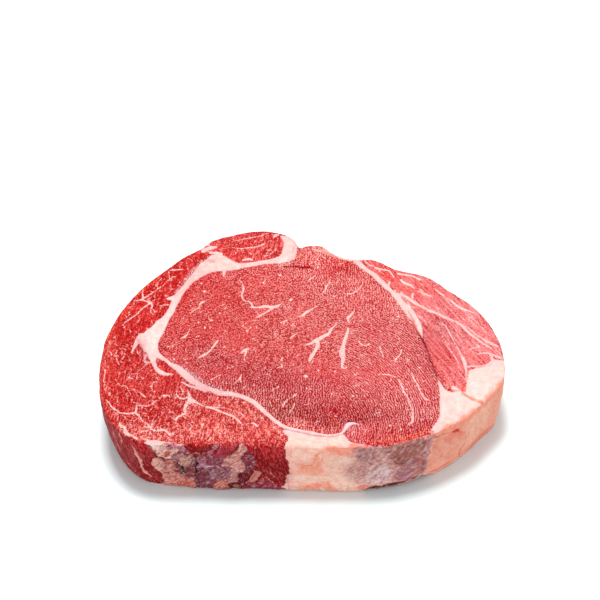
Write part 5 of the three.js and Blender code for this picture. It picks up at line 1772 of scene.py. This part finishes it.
MM_PER_METRE = 1 / MM
FIBRE_LEAN = 0.22  # how far the fibres lean over for each mm up
FIBRE_STRETCH = -0.74  # how much of the height the grain forgets, so that it is drawn out upright

in_metres = add("TexCoord", {}).node.outputs["Object"]
place = vector_calc("MULTIPLY", in_metres, (MM_PER_METRE, MM_PER_METRE, MM_PER_METRE))
up = add("SeparateXYZ", {"Vector": place}).node.outputs["Z"]
slant = add("CombineXYZ", {"X": times(up, FIBRE_LEAN), "Z": times(up, FIBRE_STRETCH)})
along_fibre = vector_calc("ADD", place, slant)
print("material", recipe.name, "started with", len(shop.nodes), "nodes")

# %% [markdown]
# ## The grain of the lean
#
# On the cut face the fibre bundles end in tiny granules, under a millimetre across. Everything is drawn
# out along the thickness, so the same granules become long streaks on the wall. Coarser noise makes
# neighbouring bundles differ.

# %% The grain of the lean
saw_share, comb_share, coarse_share = (
    add("SeparateColor", {"Color": fact_colour("grain")}).node.outputs[i] for i in range(3))
face_share = fact("face")
side_share = minus(1.0, face_share)
film_share = fact("film")
smooth_share = fact("smooth")
stripe_share = fact("stripes")

jitter = add("TexNoise", {"Vector": place, "Scale": 0.9, "Detail": 2.0}).node.outputs["Color"]
shaken = vector_calc("ADD", along_fibre, vector_calc("MULTIPLY", jitter, (0.5, 0.5, 0.2)))
granules = add("TexVoronoi", {"Vector": shaken, "Scale": 1.3, "Randomness": 1.0})
granule = step(granules, 0.2, 0.75, 1.0, 0.0)
fine = noise(along_fibre, 2.1, 0.0)
coarse_noise = noise(along_fibre, 0.75, 2.0, 0.5)
broad = noise(along_fibre, 0.34, 1.0)
patchy = noise(place, 0.12, 3.0, 0.6)
print("granules made;", len(shop.nodes), "nodes")

# %% [markdown]
# ## Saw marks and streaks
#
# The saw swept round a place at the near side. So its marks lie on arcs about it over the right part of
# the eye, and as upright ribs over the near and far parts. Streaks are noise stretched along a heading.

# %% Saw marks and streaks
SWEEP_MIDDLE = (5.0, -56.0, 0.0)
ARC_PITCH = 1.04
RIB_PITCH = 1.14
LINE_BEND = 15.0
GROOVE_POWER = 1.7  # above 1 makes the grooves narrower than the ridges
RIDGE_TOP = 0.9


def drawn_out(heading, across, along):
    """Noise stretched along a heading in degrees: mm across one streak, and mm along it."""
    turned = add("VectorRotate", {"Vector": shaken, "Angle": math.radians(-heading)}, rotation_type="Z_AXIS")
    squeezed = vector_calc("MULTIPLY", turned, (1 / along, 1 / across, 0.3))
    return noise(squeezed, 1.0, 2.0, 0.5)


def ridges(distance, pitch, bend, per_mm):
    """Ridges across a distance in mm, one each pitch mm, with narrow grooves, bent by noise."""
    sway = times(noise(place, per_mm, 1.0), bend)
    wave = calc("SINE", times_plus(distance, 2 * math.pi / pitch, sway))
    groove = calc("POWER", times_plus(wave, -0.5, 0.5), GROOVE_POWER)
    return minus(RIDGE_TOP, groove)


from_sweep = vector_calc("MULTIPLY", vector_calc("SUBTRACT", shaken, SWEEP_MIDDLE), (1, 1, 0))
sweep_x, sweep_y = (add("SeparateXYZ", {"Vector": from_sweep}).node.outputs[i] for i in range(2))
sweep_radius = calc("SQRT", plus(calc("POWER", sweep_x, 2.0), calc("POWER", sweep_y, 2.0)))
saw_lines = ridges(sweep_radius, ARC_PITCH, LINE_BEND, 0.36)
comb_lines = ridges(sweep_x, RIB_PITCH, LINE_BEND, 0.4)
upright = drawn_out(90, 1.1, 9.0)
threads = drawn_out(80, 0.6, 3.0)
long_streaks = drawn_out(-58, 0.7, 9.0)
print("saw marks and streaks made;", len(shop.nodes), "nodes")

# %% [markdown]
# ## Adding up the grain
#
# Every part of the grain swings about a half. It is added with a share of its own, which depends on the
# muscle, on the saw, and on whether the point lies on the cut face or on the wall. Silverskin and the
# smooth tail calm the whole.

# %% Add up the grain
MIDDLE = 0.5


def add_part(total, part, share):
    """The total with a share of a part that swings about the middle."""
    return plus(total, times(minus(part, MIDDLE), share))


cut_share = plus(saw_share, comb_share)
cut_strength = times_plus(noise(place, 0.3, 2.0), 1.5, 0.35)
rough_share = plus(coarse_share, cut_share)
value = add_part(MIDDLE, granule, times_plus(rough_share, -0.35, 0.85))
value = add_part(value, fine, times_plus(coarse_share, -0.7, times_plus(cut_share, -0.5, 2.2)))
value = add_part(value, coarse_noise, times_plus(rough_share, 0.6, times_plus(side_share, 1.3, 0.45)))
value = add_part(value, broad, times(side_share, 1.5))
value = add_part(value, threads, times(coarse_share, 2.5))
value = add_part(value, saw_lines, times(times(saw_share, cut_strength), 0.9))
value = add_part(value, comb_lines, times(times(comb_share, cut_strength), 0.85))
value = add_part(value, upright, times(stripe_share, 1.6))
value = add_part(value, long_streaks, times(smooth_share, 3.4))
value = add_part(value, patchy, 0.5)
value = times_plus(coarse_share, -0.1, value)
calm = calc("MAXIMUM", times(film_share, 0.88), times(smooth_share, 0.72))
liveliness = times(fact("busy"), minus(1.0, calm))
value = times_plus(minus(value, MIDDLE), liveliness, MIDDLE)
print("grain added up;", len(shop.nodes), "nodes")

# %% [markdown]
# ## From grain to colour
#
# The low places of the grain are deeper and more saturated, the high places paler and pinker. This is
# partly the meat's own colour, with a thin film of fat and water on the high places, and partly painted
# shade and painted sheen, for the light on the wet relief of the fibres.

# %% From grain to colour
# DEEP and PALE are partly the grain's own colour and partly painted shade and painted sheen
DEEP = (0.56, 0.13, 0.16, 1)
PALE = (0.82, 0.42, 0.38, 1)
LIFT = (1.1, 3.7, 3.7, 1)
LOW_GRAIN = (0.58, 0.14)
HIGH_GRAIN = (0.54, 1.08)

base = fact_colour("lean_colour")
deep = tinted(base, DEEP)
lean_shade = blend(step(value, *LOW_GRAIN), base, deep)
pale_most = times_plus(coarse_share, -0.2, times_plus(face_share, 0.3, 0.36))
pale_share = times(step(value, *HIGH_GRAIN), pale_most)
pale = blend(times_plus(face_share, -0.5, 1.0), PALE, tinted(base, LIFT))
lean_shade = blend(pale_share, lean_shade, pale)
print("lean colour made;", len(shop.nodes), "nodes")

# %% [markdown]
# ## Fat and flecks over the lean
#
# The distances to fat are turned into sharp, slightly ragged edges: noise finer than the mesh is added
# before the step. Flecks stay partly see-through, as thin fat does. The fat itself has warm and deeper
# places, clouds of white and of mauve, wrinkles on the wall, and a pink edge.

# %% Fat and flecks over the lean
FLECK_COLOUR = (0.86, 0.56, 0.52, 1)
FAT_GLASS = (0.93, 0.66, 0.58, 1)
FAT_WHITE = (0.78, 0.66, 0.61, 1)
FAT_MAUVE = (0.6, 0.36, 0.39, 1)
WRINKLE = (0.52, 0.2, 0.14, 1)
FAT_EDGE = (0.66, 0.33, 0.33, 1)

ragged_by = times_plus(face_share, -0.6, 2.0)
ragged = times(minus(noise(place, 1.1, 4.0, 0.7), 0.5), ragged_by)
fat_share = step(plus(fact("to_fat"), ragged), 0.18, -0.18)
fleck_wobble = times(minus(noise(place, 1.3, 2.0, 0.6), 0.5), 1.1)
fleck_share = step(plus(fact("to_fleck"), fleck_wobble), 0.2, -0.2)
fleck_share = times(fleck_share, times_plus(value, 0.3, 0.7))
lumpy = noise(place, 0.35, 4.0, 0.6)
thread = noise(place, 1.1, 2.0, 0.5)
base_fat = fact_colour("fat_colour")
fat_value = plus(times(lumpy, 0.6), times(thread, 0.4))
warm_share = times(step(fat_value, 0.6, 0.34), times_plus(face_share, -0.65, 1.0))
fat_shade = blend(warm_share, base_fat, tinted(base_fat, FAT_GLASS))
cloud = noise(place, 0.4, 2.0, 0.55)
white_share = times(step(cloud, 0.5, 0.64), times(face_share, 0.3))
fat_shade = blend(white_share, fat_shade, FAT_WHITE)
mauve_share = times(step(cloud, 0.46, 0.34), times(face_share, 0.35))
fat_shade = blend(mauve_share, fat_shade, FAT_MAUVE)
wrinkled = calc("ABSOLUTE", minus(noise(place, 0.55, 5.0, 0.75), 0.5))
wrinkle_share = times(step(wrinkled, 0.022, 0.0), times(side_share, 0.55))
fat_shade = blend(wrinkle_share, fat_shade, WRINKLE)
pink_edge = times(step(plus(fact("to_fat"), ragged), -0.8, 0.1), 0.5)
fat_shade = blend(times(pink_edge, face_share), fat_shade, FAT_EDGE)
shade = blend(fleck_share, lean_shade, FLECK_COLOUR)
shade = blend(fat_share, shade, fat_shade)
print("fat laid over the lean;", len(shop.nodes), "nodes")

# %% [markdown]
# ## Silverskin, gaps and torn tissue
#
# Silverskin is darker where it is thin, and has pale threads across it. The gaps between the muscles are
# nearly black, painted shade. Where the wall's tissue is torn it is mottled, with small pits and cracks
# painted dark as the shade inside them.

# %% Silverskin, gaps and torn tissue
THIN_FILM = (0.5, 0.34, 0.4, 1)
FILM_THREAD = (0.74, 0.58, 0.56, 1)
GAP_COLOUR = (0.19, 0.0, 0.006, 1)
MOTTLE = (0.66, 0.48, 0.48, 1)
PIT_SHADE = (0.16, 0.05, 0.05, 1)
CRACK_SHADE = (0.12, 0.01, 0.012, 1)

tilted = add("VectorRotate", {"Vector": place, "Angle": math.radians(48)}, rotation_type="Y_AXIS")
strands = noise(vector_calc("MULTIPLY", tilted, (0.3, 0.7, 1.15)), 1.0, 2.0, 0.6)
folds = noise(place, 0.7, 2.0, 0.6)
film_value = plus(times(strands, 0.6), times(folds, 0.4))
torn_share = fact("torn")
restless = times(film_share, times_plus(torn_share, 0.2, 0.55))
shade = blend(times(restless, step(film_value, 0.55, 0.38)), shade, tinted(shade, THIN_FILM))
pale_thread = times(step(film_value, 0.53, 0.6), 0.5)
shade = blend(times(restless, pale_thread), shade, FILM_THREAD)
shade = blend(fact("gap"), shade, GAP_COLOUR)
mottle_share = times(torn_share, times(step(noise(place, 0.8, 2.0, 0.5), 0.5, 0.36), 0.55))
shade = blend(mottle_share, shade, tinted(shade, MOTTLE))
# painted shade: the dark pits and cracks over the torn tissue stand for the shade in them
pits = add("TexVoronoi", {"Vector": place, "Scale": 0.42, "Randomness": 1.0})
pit_share = times(step(pits, 0.17, 0.1), times(torn_share, 0.55))
shade = blend(pit_share, shade, PIT_SHADE)
cracked = step(calc("ABSOLUTE", minus(noise(place, 0.4, 4.0, 0.7), 0.5)), 0.035, 0.0)
shade = blend(times(torn_share, times(cracked, 0.7)), shade, CRACK_SHADE)
print("silverskin, gaps and torn tissue laid on;", len(shop.nodes), "nodes")

# %% [markdown]
# ## Wetness and relief
#
# Raw beef is moist, so it has a soft sheen that breaks up over the grain. Silverskin is the smoothest,
# fat is waxy. The bump carries the grain that is too fine for the mesh.

# %% Wetness and relief
DRY_LEAN = 0.62
DRY_FAT = 0.4
BUMP_STRENGTH = 0.55
BUMP_DEPTH = 0.5 * MM
WET_INDEX = 1.4  # how strongly the moist surface bends light
SHINE = 0.05
GLOW = 0.05  # light that enters the flesh and comes out beside
GLOW_COLOUR = (1.0, 0.3, 0.2)
GLOW_REACH = 1 * MM

lean_rough = times_plus(fine, -0.2, DRY_LEAN)
rough = plus(lean_rough, times(film_share, -0.1))
rough = add("Mix", {0: fat_share, 2: rough, 3: times_plus(lumpy, 0.16, DRY_FAT)}).node.outputs[0]
height_value = times(value, times_plus(fat_share, -0.9, 1.0))
height_value = times(height_value, times_plus(film_share, -0.7, 1.0))
fat_height = times(fat_share, times_plus(thread, 0.25, 0.35))
height_value = plus(height_value, fat_height)
height_value = plus(height_value, times(film_share, film_value))
relief = add("Bump", {"Strength": BUMP_STRENGTH, "Distance": BUMP_DEPTH, "Height": height_value})
flesh = add("BsdfPrincipled", {
    "Base Color": shade,
    "Roughness": rough,
    "Normal": relief,
    "IOR": WET_INDEX,
    "Specular IOR Level": SHINE,
    "Subsurface Weight": GLOW,
    "Subsurface Radius": GLOW_COLOUR,
    "Subsurface Scale": GLOW_REACH,
})
surface = shop.nodes.new("ShaderNodeOutputMaterial")
shop.links.new(flesh, surface.inputs["Surface"])
beef_mesh.materials.append(recipe)
print("finished with", len(shop.nodes), "nodes")

# %% [markdown]
# ## A flat map of the skin
#
# When the slice leaves Blender its finish is baked onto a flat picture, so the skin needs a map without
# overlaps. The upper face lies flat at full size, the wall is cut into three straight strips below it, and
# the lower face fits in the corner at less than half size.

# %% A flat map of the skin
SHEET = 247.0
STRIPS = 3
STRIP_GAP = 1.5
LOWER_SCALE = 0.44
WIDEST_COLUMN = 2  # mm, where the last column of the wall meets the first
MARGIN = 1

strip_length = EDGE_ROUND / STRIPS
mean_radius = grid_radius.reshape(row_count, column_count).mean(axis=1)
up_wall = np.concatenate([[0], np.cumsum(np.hypot(np.diff(rows), np.diff(mean_radius)))])
strip_height = up_wall[-1] + STRIP_GAP
upper_corner = plan[upper_start:lower_start].min(axis=0) - 2 * MARGIN
flat = []
for row in range(row_count - 1):
    for column in range(column_count):
        strip = int(columns[column] // strip_length)
        left = columns[column] - strip * strip_length
        following = columns[column + 1] if column + 1 < column_count else EDGE_ROUND
        right = min(left + following - columns[column], left + WIDEST_COLUMN)
        low = strip * strip_height + up_wall[row]
        high = strip * strip_height + up_wall[row + 1]
        flat += [(left, low), (right, low), (right, high), (left, high)]
upper_flat = plan - upper_corner + (MARGIN, STRIPS * strip_height + MARGIN)
flat += upper_flat[np.concatenate([upper_number[list(f)] for f in upper_faces])].tolist()
lower_flat = (plan[:, ::-1] - plan.min(axis=0)[::-1]) * LOWER_SCALE + (strip_length + 3 * MARGIN, MARGIN)
flat += lower_flat[np.concatenate([lower_number[list(f)][::-1] for f in lower_faces])].tolist()
flat_map = beef_mesh.uv_layers.new(name="OFBake")
flat_map.data.foreach_set("uv", (np.array(flat) / SHEET).ravel())
print("map fills", (np.max(flat, axis=0) / SHEET).round(3).tolist(), "of the sheet")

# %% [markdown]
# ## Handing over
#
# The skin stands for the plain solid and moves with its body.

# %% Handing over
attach(beef, "root")
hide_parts("rib_roast")
print(beef.name, "stands for", solid.name)
